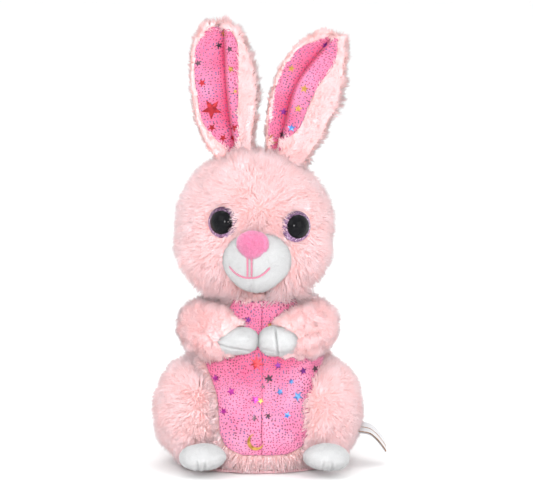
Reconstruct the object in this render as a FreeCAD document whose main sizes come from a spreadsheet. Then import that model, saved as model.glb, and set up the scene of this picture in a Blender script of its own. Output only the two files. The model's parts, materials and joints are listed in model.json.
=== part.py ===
import FreeCAD, Part
import math
import os
import Sketcher
from FreeCAD import Placement, Rotation, Vector

# Interactive plush rabbit, sitting. Millimetres, +Z up, front at -Y, "left" is the toy's own left (+X).
# The origin is the middle of the base, on the floor.

doc = FreeCAD.newDocument("plush_rabbit")
sheet = doc.addObject("Spreadsheet::Sheet", "sizes")

SIZES = [
    # base and battery box
    ("cloth_base_thick", 1.5), ("base_radius", 40.0), ("base_case_top", 18.5), ("case_floor", 5.0),
    ("case_wall", 1.5), ("case_height_at_rim", 9.0),
    ("cell_radius", 5.25), ("cell_length", 44.5), ("cell_pitch", 10.9), ("cell_height", 11.3),
    ("bay_half_x", 17.0), ("bay_half_y", 25.0),
    ("door_half_x", 19.3), ("door_back", 26.5), ("door_front", 31.5), ("door_thick", 2.0),
    ("door_gap", 0.3), ("door_screw_y", -28.6), ("door_screw_radius", 1.1), ("door_screw_head", 2.1),
    ("switch_x", 29.0), ("switch_half_x", 3.5), ("switch_half_y", 7.0), ("switch_high", 5.5),
    ("knob_half_x", 1.5), ("knob_long", 3.8), ("knob_back", -0.2), ("knob_bottom", 0.4),
    # torso
    ("body_x", -1.5), ("cover_thick", 3.0),
    ("torso_foot_radius", 43.5), ("torso_belly_radius", 46.5), ("torso_belly_height", 26.0),
    ("torso_chest_radius", 37.0), ("torso_chest_height", 68.0),
    ("torso_neck_radius", 31.5), ("torso_top", 94.0), ("torso_low_curve", 60.0), ("torso_side_curve", 110.0),
    ("torso_shoulder_curve", 42.0),
    ("haunch_x", 37.0), ("haunch_y", -9.0), ("haunch_z", 27.5),
    ("haunch_wide", 19.5), ("haunch_long", 35.0), ("haunch_high", 27.0),
    ("foot_x_left", 36.0), ("foot_x_right", 32.0), ("foot_y", -51.0), ("foot_z", 10.0),
    ("foot_wide", 12.4), ("foot_long", 11.5), ("foot_high", 8.2),
    ("tail_y", 50.0), ("tail_z", 25.0), ("tail_radius", 12.5),
    # arms
    ("arm_ring_radius", 34.0), ("arm_thick", 11.8), ("arm_ring_x", 4.5), ("arm_ring_y", -4.0),
    ("arm_height", 78.0), ("arm_tilt", 7.0), ("arm_sweep", 52.0), ("arm_room", 0.5),
    ("paw_wide", 12.5), ("paw_deep", 9.0), ("paw_high", 8.6), ("paw_beyond", 8.0), ("paw_forward", 1.5),
    # head
    ("head_x", -2.5), ("head_z", 132.0), ("head_radius", 41.0), ("head_room", 0.5),
    ("head_skin", 4.0), ("neck_slot_x", 15.5), ("neck_slot_y", 22.5),
    ("neck_slot_depth", 12.0), ("hub_radius", 4.5),
    ("frame_radius", 30.0), ("frame_thick", 2.0),
    ("muzzle_x", -2.2), ("muzzle_y", -35.0), ("muzzle_z", 118.2),
    ("muzzle_wide", 18.8), ("muzzle_deep", 13.0), ("muzzle_high", 18.4),
    ("nose_x", -4.4), ("nose_y", -46.3), ("nose_z", 127.0),
    ("nose_wide", 9.2), ("nose_deep", 4.2), ("nose_high", 7.8),
    ("mouth_x", -5.8), ("mouth_z", 110.0), ("smile_radius", 13.5), ("thread_wide", 1.5),
    # eyes
    ("eye_radius", 8.6), ("eye_dome", 4.6), ("pupil_radius", 6.5), ("eye_stem", 2.0), ("eye_reach", 7.5),
    ("washer_radius", 6.5), ("washer_thick", 1.4),
    # ears
    ("ear_length", 36.0), ("ear_centre", 39.2), ("ear_wide", 17.5), ("ear_deep", 6.5), ("ear_root", 6.0),
    ("ear_room", 0.4), ("lining_wide", 12.8), ("lining_deep", 4.0), ("lining_long", 33.0),
    ("lining_front", -4.4),
    ("ear_x_left", 9.5), ("ear_x_right", -12.5), ("ear_lean_left", 23.0), ("ear_lean_right", -10.0),
    ("ear_z_left", 167.3), ("ear_z_right", 167.8),
    # drive in the neck
    ("tower_half_x", 12.5), ("tower_wall", 2.0), ("tower_half_y", 15.0), ("tower_neck", 16.0),
    ("hinge_boss", 9.0), ("shaft_radius", 2.0), ("axle_radius", 1.0),
    ("fit", 0.05), ("tooth_coarse", 0.8), ("tooth_fine", 0.6),
    ("sector_teeth", 50.0), ("gear_large_teeth", 30.0), ("gear_small_teeth", 12.0),
    ("gear_wide", 2.5), ("layer_sector", -2.5), ("layer_middle", 1.5), ("layer_motor", 6.5),
    ("motor_long", 15.0), ("motor_wide", 12.0), ("motor_high", 10.0), ("motor_shaft", 0.75),
    # electronics
    ("board_x", -8.0), ("board_thick", 1.6), ("board_half_y", 8.4), ("board_bottom", 22.0),
    ("board_top", 60.0), ("speaker_radius", 11.5), ("speaker_z", 38.0), ("speaker_thick", 4.5),
    ("plunger_radius", 6.0), ("plunger_stem", 2.5), ("plunger_z", 42.0), ("plunger_cap", 2.5),
    ("plunger_out", 6.0), ("plunger_long", 9.6), ("lead_radius", 0.5),
]
for row, (alias, value) in enumerate(SIZES, start=1):
    sheet.set("A%d" % row, alias)
    sheet.set("B%d" % row, str(value))
    sheet.setAlias("B%d" % row, alias)
doc.recompute()
SIZE = dict(SIZES)


# ---------------------------------------------------------------- helpers

def with_sheet(formula):
    """The formula with every size name led to its cell in the sheet."""
    text = ""
    word = ""
    for letter in str(formula) + " ":
        if letter.isalnum() or letter == "_":
            word += letter
            continue
        text += ("sizes." + word if word in SIZE else word) + letter
        word = ""
    return text.strip()


def number(formula):
    """The value of a formula of sizes."""
    return float(sheet.evalExpression(with_sheet(formula)))


def bind(item, prop, formula):
    """Bind a property to a formula of sizes, so that the model follows the sheet."""
    setting = with_sheet(formula)
    item.setExpression(prop, setting)


def place(item, at, turn=None):
    """Bind the place of an item; turn is a Rotation."""
    item.Placement = Placement(Vector(*[number(part) for part in at]), turn or Rotation())
    for axis, part in zip("xyz", at):
        bind(item, "Placement.Base." + axis, part)
    return item


AXIS_TURN = {
    "+X": Rotation(Vector(0, 1, 0), 90),
    "-X": Rotation(Vector(0, 1, 0), -90),
    "+Y": Rotation(Vector(1, 0, 0), -90),
    "-Y": Rotation(Vector(1, 0, 0), 90),
    "+Z": Rotation(),
    "-Z": Rotation(Vector(1, 0, 0), 180),
}


def box(low, high, about=None, turn=None):
    """A box between two corners, which may be given from a point and turned about it."""
    item = doc.addObject("Part::Box", "box")
    for prop, first, last in zip(("Length", "Width", "Height"), low, high):
        bind(item, prop, "(%s) - (%s)" % (last, first))
    if about is None:
        return place(item, low)
    corner = turn.multVec(Vector(*[number(part) for part in low]))
    return place(item, tuple(Vector(*[number(part) for part in about]) + corner), turn)


def cylinder(radius, length, at, axis="+Z", turn=None):
    """A cylinder that starts at a point and runs along an axis."""
    item = doc.addObject("Part::Cylinder", "cylinder")
    bind(item, "Radius", radius)
    bind(item, "Height", length)
    return place(item, at, turn or AXIS_TURN[axis])


def sphere(radius, at):
    item = doc.addObject("Part::Sphere", "sphere")
    bind(item, "Radius", radius)
    return place(item, at)


def ellipsoid(wide, deep, high, at, turn=None):
    """An ellipsoid from its half sizes along X, Y and Z."""
    item = doc.addObject("Part::Ellipsoid", "ellipsoid")
    bind(item, "Radius2", wide)
    bind(item, "Radius3", deep)
    bind(item, "Radius1", high)
    return place(item, at, turn)


def torus(ring, thick, sweep, at, turn=None):
    item = doc.addObject("Part::Torus", "torus")
    bind(item, "Radius1", ring)
    bind(item, "Radius2", thick)
    bind(item, "Angle3", sweep)
    return place(item, at, turn)


def cut(base, tools):
    """The base with each tool taken away."""
    for tool in tools:
        item = doc.addObject("Part::Cut", "cut")
        item.Base = base
        item.Tool = tool
        base = item
    return base


def join(parts):
    item = doc.addObject("Part::MultiFuse", "join")
    item.Shapes = parts
    return item


def overlap(first, second):
    item = doc.addObject("Part::Common", "common")
    item.Base = first
    item.Tool = second
    return item


def group(parts):
    """Several separate solids that share one node."""
    item = doc.addObject("Part::Compound", "group")
    item.Links = parts
    return item


def made_shape(shape):
    """A shape made by Part functions, for forms that no document feature makes."""
    item = doc.addObject("Part::Feature", "made")
    item.Shape = shape
    return item


def new_body():
    return doc.addObject("PartDesign::Body", "body")


def arc_edge(start, end, radius):
    """The short arc between two points of a sketch; a positive radius turns anticlockwise."""
    middle = (start + end) * 0.5
    along = end - start
    side = Vector(-along.y, along.x, 0).normalize()
    reach = math.sqrt(radius ** 2 - (along.Length / 2) ** 2)
    centre = middle + side * (reach if radius > 0 else -reach)
    first, last = (start, end) if radius > 0 else (end, start)
    angles = [math.atan2(point.y - centre.y, point.x - centre.x) for point in (first, last)]
    return Part.ArcOfCircle(Part.Circle(centre, Vector(0, 0, 1), abs(radius)), angles[0], angles[1])


def outline_sketch(body, plane, corners, offset="0"):
    """A closed outline bound to the sheet. Each corner is (across, up) or (across, up, radius), where
    the radius belongs to the arc that leads on to the next corner."""
    sketch = body.newObject("Sketcher::SketchObject", "outline")
    support = [feature for feature in body.Origin.OriginFeatures if feature.Role == plane][0]
    sketch.AttachmentSupport = (support, "")
    sketch.MapMode = "FlatFace"
    bind(sketch, "AttachmentOffset.Base.z", offset)
    points = [Vector(number(corner[0]), number(corner[1]), 0) for corner in corners]
    start_vertex = []
    end_vertex = []
    for index, corner in enumerate(corners):
        start, end = points[index], points[(index + 1) % len(points)]
        if len(corner) == 2:
            sketch.addGeometry(Part.LineSegment(start, end), False)
            start_vertex.append(1)
            end_vertex.append(2)
            continue
        radius = number(corner[2])
        sketch.addGeometry(arc_edge(start, end, radius), False)
        start_vertex.append(1 if radius > 0 else 2)
        end_vertex.append(2 if radius > 0 else 1)
    for index, corner in enumerate(corners):
        follow = (index + 1) % len(corners)
        sketch.addConstraint(
            Sketcher.Constraint("Coincident", index, end_vertex[index], follow, start_vertex[follow]))
        for kind, formula in (("DistanceX", corner[0]), ("DistanceY", corner[1])):
            rule = sketch.addConstraint(
                Sketcher.Constraint(kind, -1, 1, index, start_vertex[index], number(formula)))
            bind(sketch, "Constraints[%d]" % rule, formula)
        if len(corner) == 3:
            rule = sketch.addConstraint(Sketcher.Constraint("Radius", index, abs(number(corner[2]))))
            bind(sketch, "Constraints[%d]" % rule, "abs(%s)" % corner[2])
    return sketch


def circle_sketch(body, plane, radius, centre=("0", "0"), offset="0"):
    sketch = body.newObject("Sketcher::SketchObject", "circle")
    support = [feature for feature in body.Origin.OriginFeatures if feature.Role == plane][0]
    sketch.AttachmentSupport = (support, "")
    sketch.MapMode = "FlatFace"
    bind(sketch, "AttachmentOffset.Base.z", offset)
    middle = Vector(number(centre[0]), number(centre[1]), 0)
    sketch.addGeometry(Part.Circle(middle, Vector(0, 0, 1), number(radius)), False)
    for kind, formula in (("DistanceX", centre[0]), ("DistanceY", centre[1])):
        rule = sketch.addConstraint(Sketcher.Constraint(kind, -1, 1, 0, 3, number(formula)))
        bind(sketch, "Constraints[%d]" % rule, formula)
    rule = sketch.addConstraint(Sketcher.Constraint("Radius", 0, number(radius)))
    bind(sketch, "Constraints[%d]" % rule, radius)
    return sketch


def pad(body, sketch, length, backward=False):
    item = body.newObject("PartDesign::Pad", "pad")
    item.Profile = sketch
    bind(item, "Length", length)
    item.Reversed = backward
    return item


def pocket(body, sketch, length, backward=False):
    item = body.newObject("PartDesign::Pocket", "pocket")
    item.Profile = sketch
    bind(item, "Length", length)
    item.Reversed = backward
    return item


def revolved(corners, at, turn=None):
    """A body turned about its own upright axis from an outline of (radius, height) corners."""
    body = new_body()
    item = body.newObject("PartDesign::Revolution", "turned")
    item.Profile = outline_sketch(body, "XZ_Plane", corners)
    item.ReferenceAxis = (item.Profile[0], ["V_Axis"])
    item.Angle = 360
    return place(body, at, turn)


NODES = []


def node(name, item):
    """Give a finished piece its name in the library."""
    item.Label = name
    NODES.append(item)
    return item


def both_sides(maker):
    """Call a maker for the left (+1) and the right (-1) side."""
    for side, word in ((1, "left"), (-1, "right")):
        maker(side, word)


HEAD = ("head_x", "0", "head_z")


# ---------------------------------------------------------------- base case and battery box

def rectangle(half_x, half_y):
    return [
        ("-" + half_x, "-" + half_y), (half_x, "-" + half_y), (half_x, half_y), ("-" + half_x, half_y)]


def make_base_cloth():
    disc = cylinder("base_radius + cover_thick", "cloth_base_thick", ("body_x", "0", "0"))
    door_hole = box(
        ("-door_half_x - 2 * door_gap", "-door_front - 2 * door_gap", "-1"),
        ("door_half_x + 2 * door_gap", "door_back + 2 * door_gap", "cloth_base_thick + 1"))
    knob_hole = box(("switch_x - 2.4", "-5", "-1"), ("switch_x + 2.4", "5", "cloth_base_thick + 1"))
    node("base_cloth", cut(disc, [door_hole, knob_hole]))


def make_base_case():
    body = new_body()
    disc = circle_sketch(body, "XY_Plane", "base_radius", ("body_x", "0"), "cloth_base_thick")
    pad(body, disc, "case_height_at_rim - cloth_base_thick")
    floor_top = "cloth_base_thick + case_floor"
    hollow = circle_sketch(
        body, "XY_Plane", "base_radius - case_wall", ("body_x", "0"), "case_height_at_rim")
    pocket(body, hollow, "case_height_at_rim - (%s)" % floor_top)
    half_x, half_y = "(bay_half_x + case_wall)", "(bay_half_y + case_wall)"
    bay = outline_sketch(body, "XY_Plane", rectangle(half_x, half_y), floor_top)
    pad(body, bay, "base_case_top - (%s)" % floor_top)
    inside = outline_sketch(body, "XY_Plane", rectangle("bay_half_x", "bay_half_y"), "cloth_base_thick")
    pocket(body, inside, "base_case_top - case_wall - cloth_base_thick", backward=True)
    recess_corners = [
        ("-door_half_x - door_gap", "-door_front - door_gap"),
        ("door_half_x + door_gap", "-door_front - door_gap"),
        ("door_half_x + door_gap", "door_back + door_gap"),
        ("-door_half_x - door_gap", "door_back + door_gap"),
    ]
    recess = outline_sketch(body, "XY_Plane", recess_corners, "cloth_base_thick")
    pocket(body, recess, "door_thick + door_gap - cloth_base_thick", backward=True)
    screw_hole = cylinder("1.6", "case_floor + 1", ("0", "door_screw_y", "cloth_base_thick"))
    knob_slot = box(("switch_x - 1.8", "-4.2", "0"), ("switch_x + 1.8", "4.2", "%s + 1" % floor_top))
    tab_holes = [
        box(("-9.6", "%d * (bay_half_y - 0.9) - 0.5" % end, "base_case_top - 3"),
            ("-7.6", "%d * (bay_half_y - 0.9) + 0.5" % end, "base_case_top + 1")) for end in (1, -1)]
    node("base_case", cut(body, [screw_hole, knob_slot] + tab_holes))


def make_battery_door():
    plate = box(
        ("-door_half_x", "-door_front", "0"),
        ("door_half_x", "door_back", "door_thick"))
    screw_hole = cylinder("door_screw_radius", "10", ("0", "door_screw_y", "-1"))
    head_seat = cylinder("door_screw_head + 0.1", "2", ("0", "door_screw_y", "-1"))
    ribs = [
        box(("-door_half_x + 3", "%.1f * door_back" % share, "door_thick"),
            ("door_half_x - 3", "%.1f * door_back + 1" % share, "door_thick + 0.8"))
        for share in (-0.6, 0.0, 0.6)]
    node("battery_door", cut(join([plate] + ribs), [screw_hole, head_seat]))


def make_door_screw():
    shank = cylinder("door_screw_radius", "4.6", ("0", "door_screw_y", "1"))
    head = cylinder("door_screw_head", "0.8", ("0", "door_screw_y", "0.2"))
    slot = box(("-2.2", "door_screw_y - 0.3", "0"), ("2.2", "door_screw_y + 0.3", "0.6"))
    node("door_screw", cut(join([shank, head]), [slot]))


def make_cells():
    """Three AAA cells side by side, turned end for end in between."""
    cells = []
    for index in (-1, 0, 1):
        way = "+Y" if index != 0 else "-Y"
        sign = 1 if index != 0 else -1
        start = "%d * (-cell_length / 2)" % sign
        middle = "%d * cell_pitch" % index
        can = cylinder("cell_radius", "cell_length - 1", (middle, start, "cell_height"), way)
        nub_start = "%d * (cell_length / 2 - 1)" % sign
        nub = cylinder("1.9", "1", (middle, nub_start, "cell_height"), way)
        cells.append(join([can, nub]))
    node("cells", group(cells))


def make_contacts():
    """Flat plates at the ends of the bay and a spring at the flat end of each cell."""
    plates = []
    springs = []
    for index in (-1, 0, 1):
        middle = number("cell_pitch") * index
        flat_end = -1 if index != 0 else 1
        for end in (1, -1):
            outer = number("bay_half_y") * end
            inner = outer - 0.4 * end
            low, high = min(outer, inner), max(outer, inner)
            top = "base_case_top - case_wall - 0.2"
            plates.append(box((middle - 4, low, "6.7"), (middle + 4, high, top)))
        start = number("bay_half_y") - 0.4
        reach = start - number("cell_length / 2") - 0.1
        at = Vector(middle, flat_end * start, number("cell_height"))
        springs.append(made_shape(coil(at, -flat_end * reach, radius=2.6, wire=0.3, turns=2)))
    tabs = [
        box((-8.9, "%d * (bay_half_y - 0.9) - 0.2" % end, "base_case_top - case_wall - 3"),
            (-8.3, "%d * (bay_half_y - 0.9) + 0.2" % end, "base_case_top + 1.6")) for end in (1, -1)]
    node("contact_plates", group(plates + tabs))
    node("cell_springs", group(springs))


def coil(at, reach, radius, wire, turns):
    """A small spring along Y from a point, as half rings that each rise half a turn."""
    rise = (abs(reach) - 2 * wire) / turns / 2
    halves = []
    for index in range(2 * turns):
        side = 1 if index % 2 == 0 else -1
        start = Vector(side * radius, 0, index * rise)
        end = Vector(-side * radius, 0, (index + 1) * rise)
        crown = (start + end) * 0.5 + Vector(0, side * (end - start).Length / 2, 0)
        halves.append(Part.Arc(start, crown, end).toShape())
    profile = Part.Wire(Part.makeCircle(wire, Vector(radius, 0, 0), Vector(0, 1, 0)))
    spring = Part.Wire(halves).makePipeShell([profile], True, False)
    way = 1 if reach > 0 else -1
    spring.Placement = Placement(at + Vector(0, way * wire * 1.2, 0), Rotation(Vector(1, 0, 0), -90 * way))
    return spring


def make_power_switch():
    floor_top = "cloth_base_thick + case_floor"
    knob = box(
        ("switch_x - knob_half_x", "knob_back - knob_long", "knob_bottom"),
        ("switch_x + knob_half_x", "knob_back", "%s + 0.4" % floor_top))
    node("switch_knob", knob)
    room = box(
        ("switch_x - knob_half_x - 0.3", "-4.4", "cloth_base_thick"),
        ("switch_x + knob_half_x + 0.3", "4.4", "%s + 1" % floor_top))
    node("switch_case", cut(switch_block(), [room]))


def switch_block():
    floor_top = "cloth_base_thick + case_floor"
    return box(
        ("switch_x - switch_half_x", "-switch_half_y", floor_top),
        ("switch_x + switch_half_x", "switch_half_y", "%s + switch_high" % floor_top))


# ---------------------------------------------------------------- torso, haunches, feet, tail

def torso_form(inset):
    """The pear-shaped torso as a solid, drawn in by the inset."""
    corners = [
        ("0", "cloth_base_thick"),
        ("torso_foot_radius - %s" % inset, "cloth_base_thick", "torso_low_curve"),
        ("torso_belly_radius - %s" % inset, "torso_belly_height", "torso_side_curve"),
        ("torso_chest_radius - %s" % inset, "torso_chest_height", "torso_shoulder_curve"),
        ("torso_neck_radius - %s" % inset, "torso_top"),
        ("0", "torso_top"),
    ]
    return revolved(corners, ("body_x", "0", "0"))


def arm_lean():
    """The tilt of the plane that both arms lie in, lower at the front."""
    return Rotation(Vector(1, 0, 0), number("arm_tilt"))


def arm_turn(side):
    """Turns a torus section that starts at +X so that it runs from the shoulder to the front."""
    start = -number("arm_sweep") if side > 0 else 180.0
    return arm_lean().multiply(Rotation(Vector(0, 0, 1), start))


def arm_centre(side):
    return ("body_x - %d * arm_ring_x" % side, "arm_ring_y", "arm_height")


def shoulder(side):
    return ("body_x + %d * (arm_ring_radius - arm_ring_x)" % side, "arm_ring_y", "arm_height")


def paw_middle(side):
    """The paw's middle, past the end of the sleeve along the arm's ring."""
    along = "(arm_sweep + paw_beyond)"
    return (
        "body_x - %d * arm_ring_x + %d * arm_ring_radius * cos(%s)" % (side, side, along),
        "arm_ring_y - arm_ring_radius * sin(%s) * cos(arm_tilt) - paw_forward" % along,
        "arm_height - arm_ring_radius * sin(%s) * sin(arm_tilt)" % along)


def arms_room():
    """The room for both arms and their outward swing: all of the torso's front above the belly, apart
    from a core inside both rings."""
    centre = ("body_x", "arm_ring_y", "arm_height")
    reach = "arm_thick + 2 * arm_room"
    slab = box(("-80", "-80", "-(%s)" % reach), ("80", reach, "60"), centre, arm_lean())
    foot = arm_lean().multVec(Vector(0, 0, -20))
    rods = []
    for side in (1, -1):
        at = Vector(*[number(part) for part in arm_centre(side)]) + foot
        rods.append(cylinder("arm_ring_radius - (%s)" % reach, "100", tuple(at), turn=arm_lean()))
    return cut(slab, [overlap(*rods)])


def torso_tools():
    return [sphere("head_radius + head_room", HEAD), arms_room()]


def make_torso():
    tools = torso_tools()
    node("torso_cover", cut(torso_form("0"), [torso_form("cover_thick")] + tools))
    case_room = cylinder("base_radius", "case_height_at_rim", ("body_x", "0", "0"))
    bay_room = box(
        ("-bay_half_x - case_wall", "-bay_half_y - case_wall", "0"),
        ("bay_half_x + case_wall", "bay_half_y + case_wall", "base_case_top"))
    tower_room = box(
        ("-tower_half_x - 0.2", "-tower_half_y - 0.2", "0"),
        ("tower_half_x + 0.2", "tower_half_y + 0.2", "torso_top + 1"))
    plunger_room = cylinder(
        "plunger_radius + 0.6", "12", ("0", "-tower_half_y - 9", "plunger_z"), "+Y")
    lead_room = box(
        ("-10", "-bay_half_y - 1", "base_case_top"),
        ("-7", "bay_half_y + 1", "base_case_top + 2.4"))
    stuffing = cut(torso_form("cover_thick"), tools + [
        case_room, bay_room, switch_block(), tower_room, plunger_room, lead_room])
    node("torso_stuffing", stuffing)


def make_belly_panels():
    """Glitter cloth on the belly in two halves that meet at an upright seam."""
    cloth = cut(torso_form("-1.2"), [torso_form("0")])
    shaper = new_body()
    corners = [
        ("-22", "9"), ("22", "9"), ("27", "22"), ("29", "45"), ("31", "60", "60"), ("-31", "60"),
        ("-29", "45"), ("-27", "22")]
    pad(shaper, outline_sketch(shaper, "XZ_Plane", corners), "70")
    panel = cut(overlap(cloth, shaper), [arms_room()])
    seam = "body_x + 2.5"
    for word, low, high in (("left", seam, "60"), ("right", "-60", seam)):
        half = box((low, "-70", "0"), (high, "0", "80"))
        node("belly_panel_" + word, overlap(panel, half))


def haunch_middle(side):
    return ("body_x + %d * haunch_x" % side, "haunch_y", "haunch_z")


def make_haunch(side, word):
    soft = ellipsoid("haunch_wide", "haunch_long", "haunch_high", haunch_middle(side))
    below_floor = box(("-80", "-80", "-20"), ("80", "80", "cloth_base_thick"))
    node("haunch_" + word, cut(soft, [torso_form("-1.2"), below_floor]))


def make_foot(side, word):
    soft = ellipsoid(
        "foot_wide", "foot_long", "foot_high", ("%d * foot_x_%s" % (side, word), "foot_y", "foot_z"))
    haunch = ellipsoid("haunch_wide", "haunch_long", "haunch_high", haunch_middle(side))
    node("foot_" + word, cut(soft, [torso_form("-1.2"), haunch]))


def make_tail():
    ball = sphere("tail_radius", ("body_x", "tail_y", "tail_z"))
    node("tail", cut(ball, [torso_form("0")]))


def make_label():
    """A folded ribbon sewn into the side seam, without any words."""
    ribbon = new_body()
    corners = [
        ("52", "18.6"), ("60", "17.6", "-14"), ("68.5", "8.0"), ("69.5", "8.3", "15"), ("60.3", "18.7"),
        ("52", "19.7")]
    pad(ribbon, outline_sketch(ribbon, "XZ_Plane", corners, "18"), "18", backward=True)
    haunch = ellipsoid("haunch_wide", "haunch_long", "haunch_high", haunch_middle(1))
    node("care_label", cut(ribbon, [haunch]))


# ---------------------------------------------------------------- arms

def make_arm(side, word):
    sleeve = join([
        torus("arm_ring_radius", "arm_thick", "arm_sweep", arm_centre(side), arm_turn(side)),
        sphere("arm_thick", shoulder(side)),
    ])
    node("arm_sleeve_" + word, sleeve)
    paw = ellipsoid("paw_wide", "paw_deep", "paw_high", paw_middle(side))
    other_side = box(("-80", "-80", "40"), ("body_x + 0.2", "20", "100"))
    if side < 0:
        other_side = box(("body_x - 0.2", "-80", "40"), ("80", "20", "100"))
    node("paw_" + word, cut(paw, [sleeve, other_side]))


# ---------------------------------------------------------------- head

def neck_slot():
    """The opening under the head that the neck post stands in, with room to nod."""
    return box(
        ("-neck_slot_x", "-neck_slot_y", "head_z - head_radius - 5"),
        ("neck_slot_x", "neck_slot_y", "head_z - neck_slot_depth"))


def ear_place(word):
    return ("ear_x_" + word, "0", "ear_z_" + word)


def ear_pockets():
    return [sphere("ear_root + ear_room", ear_place(word)) for word in ("left", "right")]


EYES = {
    "left": {"at": (19.1, -32.4, 136.2), "toward": (0.42, -0.90, 0.08)},
    "right": {"at": (-20.6, -33.0, 138.5), "toward": (-0.36, -0.93, 0.10)},
}


def eye_turn(word):
    return Rotation(Vector(0, 0, 1), Vector(*EYES[word]["toward"]).normalize())


def eye_point(word, distance):
    """A point on an eye's axis, outward from its seat."""
    toward = Vector(*EYES[word]["toward"]).normalize()
    return tuple(Vector(*EYES[word]["at"]) + toward * distance)


def eye_seat(word):
    return cylinder("eye_radius + 0.2", "30", eye_point(word, 0.0), turn=eye_turn(word))


def eye_stem_hole(word):
    return cylinder("eye_stem", "eye_reach", eye_point(word, -number("eye_reach")), turn=eye_turn(word))


def washer_room(word):
    start = -number("head_skin + washer_thick")
    return cylinder("washer_radius", "washer_thick", eye_point(word, start), turn=eye_turn(word))


def make_head():
    tools = [neck_slot()] + ear_pockets()
    for word in EYES:
        tools += [eye_seat(word), eye_stem_hole(word)]
    skin = cut(sphere("head_radius", HEAD), [sphere("head_radius - head_skin", HEAD)] + tools)
    skin = cut(skin, [washer_room(word) for word in EYES])
    node("head_cover", skin)
    stuffing = cut(sphere("head_radius - head_skin", HEAD), [sphere("frame_radius", HEAD)] + tools)
    node("head_stuffing", cut(stuffing, [washer_room(word) for word in EYES]))


def make_head_frame():
    """A plastic ball shell that carries the stuffed head on the shaft, with two hubs inside."""
    shell = cut(sphere("frame_radius", HEAD), [sphere("frame_radius - frame_thick", HEAD), neck_slot()])
    hubs = []
    for side in (1, -1):
        start = "%d * (tower_half_x + 0.6)" % side
        length = "frame_radius - tower_half_x - 2.2 + (%d) * head_x" % side
        hubs.append(cylinder("hub_radius", length, (start, "0", "head_z"), "+X" if side > 0 else "-X"))
    bore = cylinder("shaft_radius", "60", ("-30", "0", "head_z"), "+X")
    node("head_frame", cut(join([shell] + hubs), [bore]))
    length = "2 * tower_half_x + 16"
    node("head_shaft", cylinder("shaft_radius", length, ("-tower_half_x - 8", "0", "head_z"), "+X"))


def muzzle_form(grow="0"):
    return ellipsoid(
        "muzzle_wide + %s" % grow, "muzzle_deep + %s" % grow, "muzzle_high + %s" % grow,
        ("muzzle_x", "muzzle_y", "muzzle_z"))


def make_muzzle():
    head = sphere("head_radius", HEAD)
    node("muzzle", cut(muzzle_form(), [head] + [eye_seat(word) for word in EYES]))
    nose = ellipsoid("nose_wide", "nose_deep", "nose_high", ("nose_x", "nose_y", "nose_z"))
    node("nose", cut(nose, [muzzle_form(), head]))


def make_mouth():
    """Embroidered stem and smile, as a thin layer on the muzzle."""
    layer = cut(muzzle_form("0.6"), [muzzle_form()])
    smile = cut(
        cylinder("smile_radius + thread_wide / 2", "20", ("mouth_x", "-35", "mouth_z + smile_radius"), "-Y"),
        [cylinder("smile_radius - thread_wide / 2", "22", ("mouth_x", "-34", "mouth_z + smile_radius"), "-Y"),
         box(("-60", "-80", "mouth_z + 5.2"), ("60", "0", "200"))])
    stem = box(
        ("mouth_x - 0.8 * thread_wide", "-60", "mouth_z - 0.3"),
        ("mouth_x + 0.8 * thread_wide", "-36", "nose_z - 6"))
    nose = ellipsoid("nose_wide", "nose_deep", "nose_high", ("nose_x", "nose_y", "nose_z"))
    node("mouth", cut(overlap(layer, join([smile, stem])), [nose]))


def dome_curve(wide, rise):
    """The radius of a dome of that half width and rise."""
    return "(%s ^ 2 + %s ^ 2) / (2 * %s)" % (wide, rise, rise)


def make_eye(side, word):
    """A domed iris on a stem, a domed pupil set into it, and the washer that holds it from inside."""
    turn = eye_turn(word)
    at = eye_point(word, 0.0)
    iris_curve = dome_curve("eye_radius", "(eye_dome - 1)")
    iris = revolved([
        ("0", "0"), ("eye_radius", "0"), ("eye_radius", "1", iris_curve), ("0", "eye_dome")], at, turn)
    pupil_curve = dome_curve("pupil_radius", "1.5")
    pupil = revolved([
        ("0", "eye_dome - 2.2"), ("pupil_radius", "eye_dome - 2.2"),
        ("pupil_radius", "eye_dome - 1", pupil_curve), ("0", "eye_dome + 0.5")], at, turn)
    stem = eye_stem_hole(word)
    node("eye_iris_" + word, cut(join([iris, stem]), [pupil]))
    node("eye_pupil_" + word, pupil)
    node("eye_washer_" + word, cut(washer_room(word), [stem]))


# ---------------------------------------------------------------- ears

def ear_turn(word):
    return Rotation(Vector(0, 1, 0), number("ear_lean_" + word))


def ear_point(word, across, front, up):
    """A point in an ear's own frame, where up runs along the ear."""
    offset = ear_turn(word).multVec(Vector(across, front, up))
    base = [number(part) for part in ear_place(word)]
    return tuple(Vector(*base) + offset)


def make_ear(side, word):
    turn = ear_turn(word)
    blade = ellipsoid("ear_wide", "ear_deep", "ear_length", ear_point(word, 0, 0, number("ear_centre")), turn)
    lining = ellipsoid(
        "lining_wide", "lining_deep", "lining_long",
        ear_point(word, -side * 1.5, number("lining_front"), number("ear_centre")), turn)
    root = sphere("ear_root", ear_place(word))
    node("ear_back_" + word, cut(join([blade, root]), [lining]))
    node("ear_lining_" + word, cut(lining, [root]))


# ---------------------------------------------------------------- gears

def gear_height(name):
    """The height of each gear's axle, from the pitch radii of the gears that mesh."""
    coarse, fine = number("tooth_coarse"), number("tooth_fine")
    small, large, sector = number("gear_small_teeth"), number("gear_large_teeth"), number("sector_teeth")
    top = number("head_z")
    second = top - coarse * (sector + small) / 2
    first = second - coarse * (large + small) / 2
    motor = first - fine * (large + small) / 2
    return {"sector": top, "second": second, "first": first, "motor": motor}[name]


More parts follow.
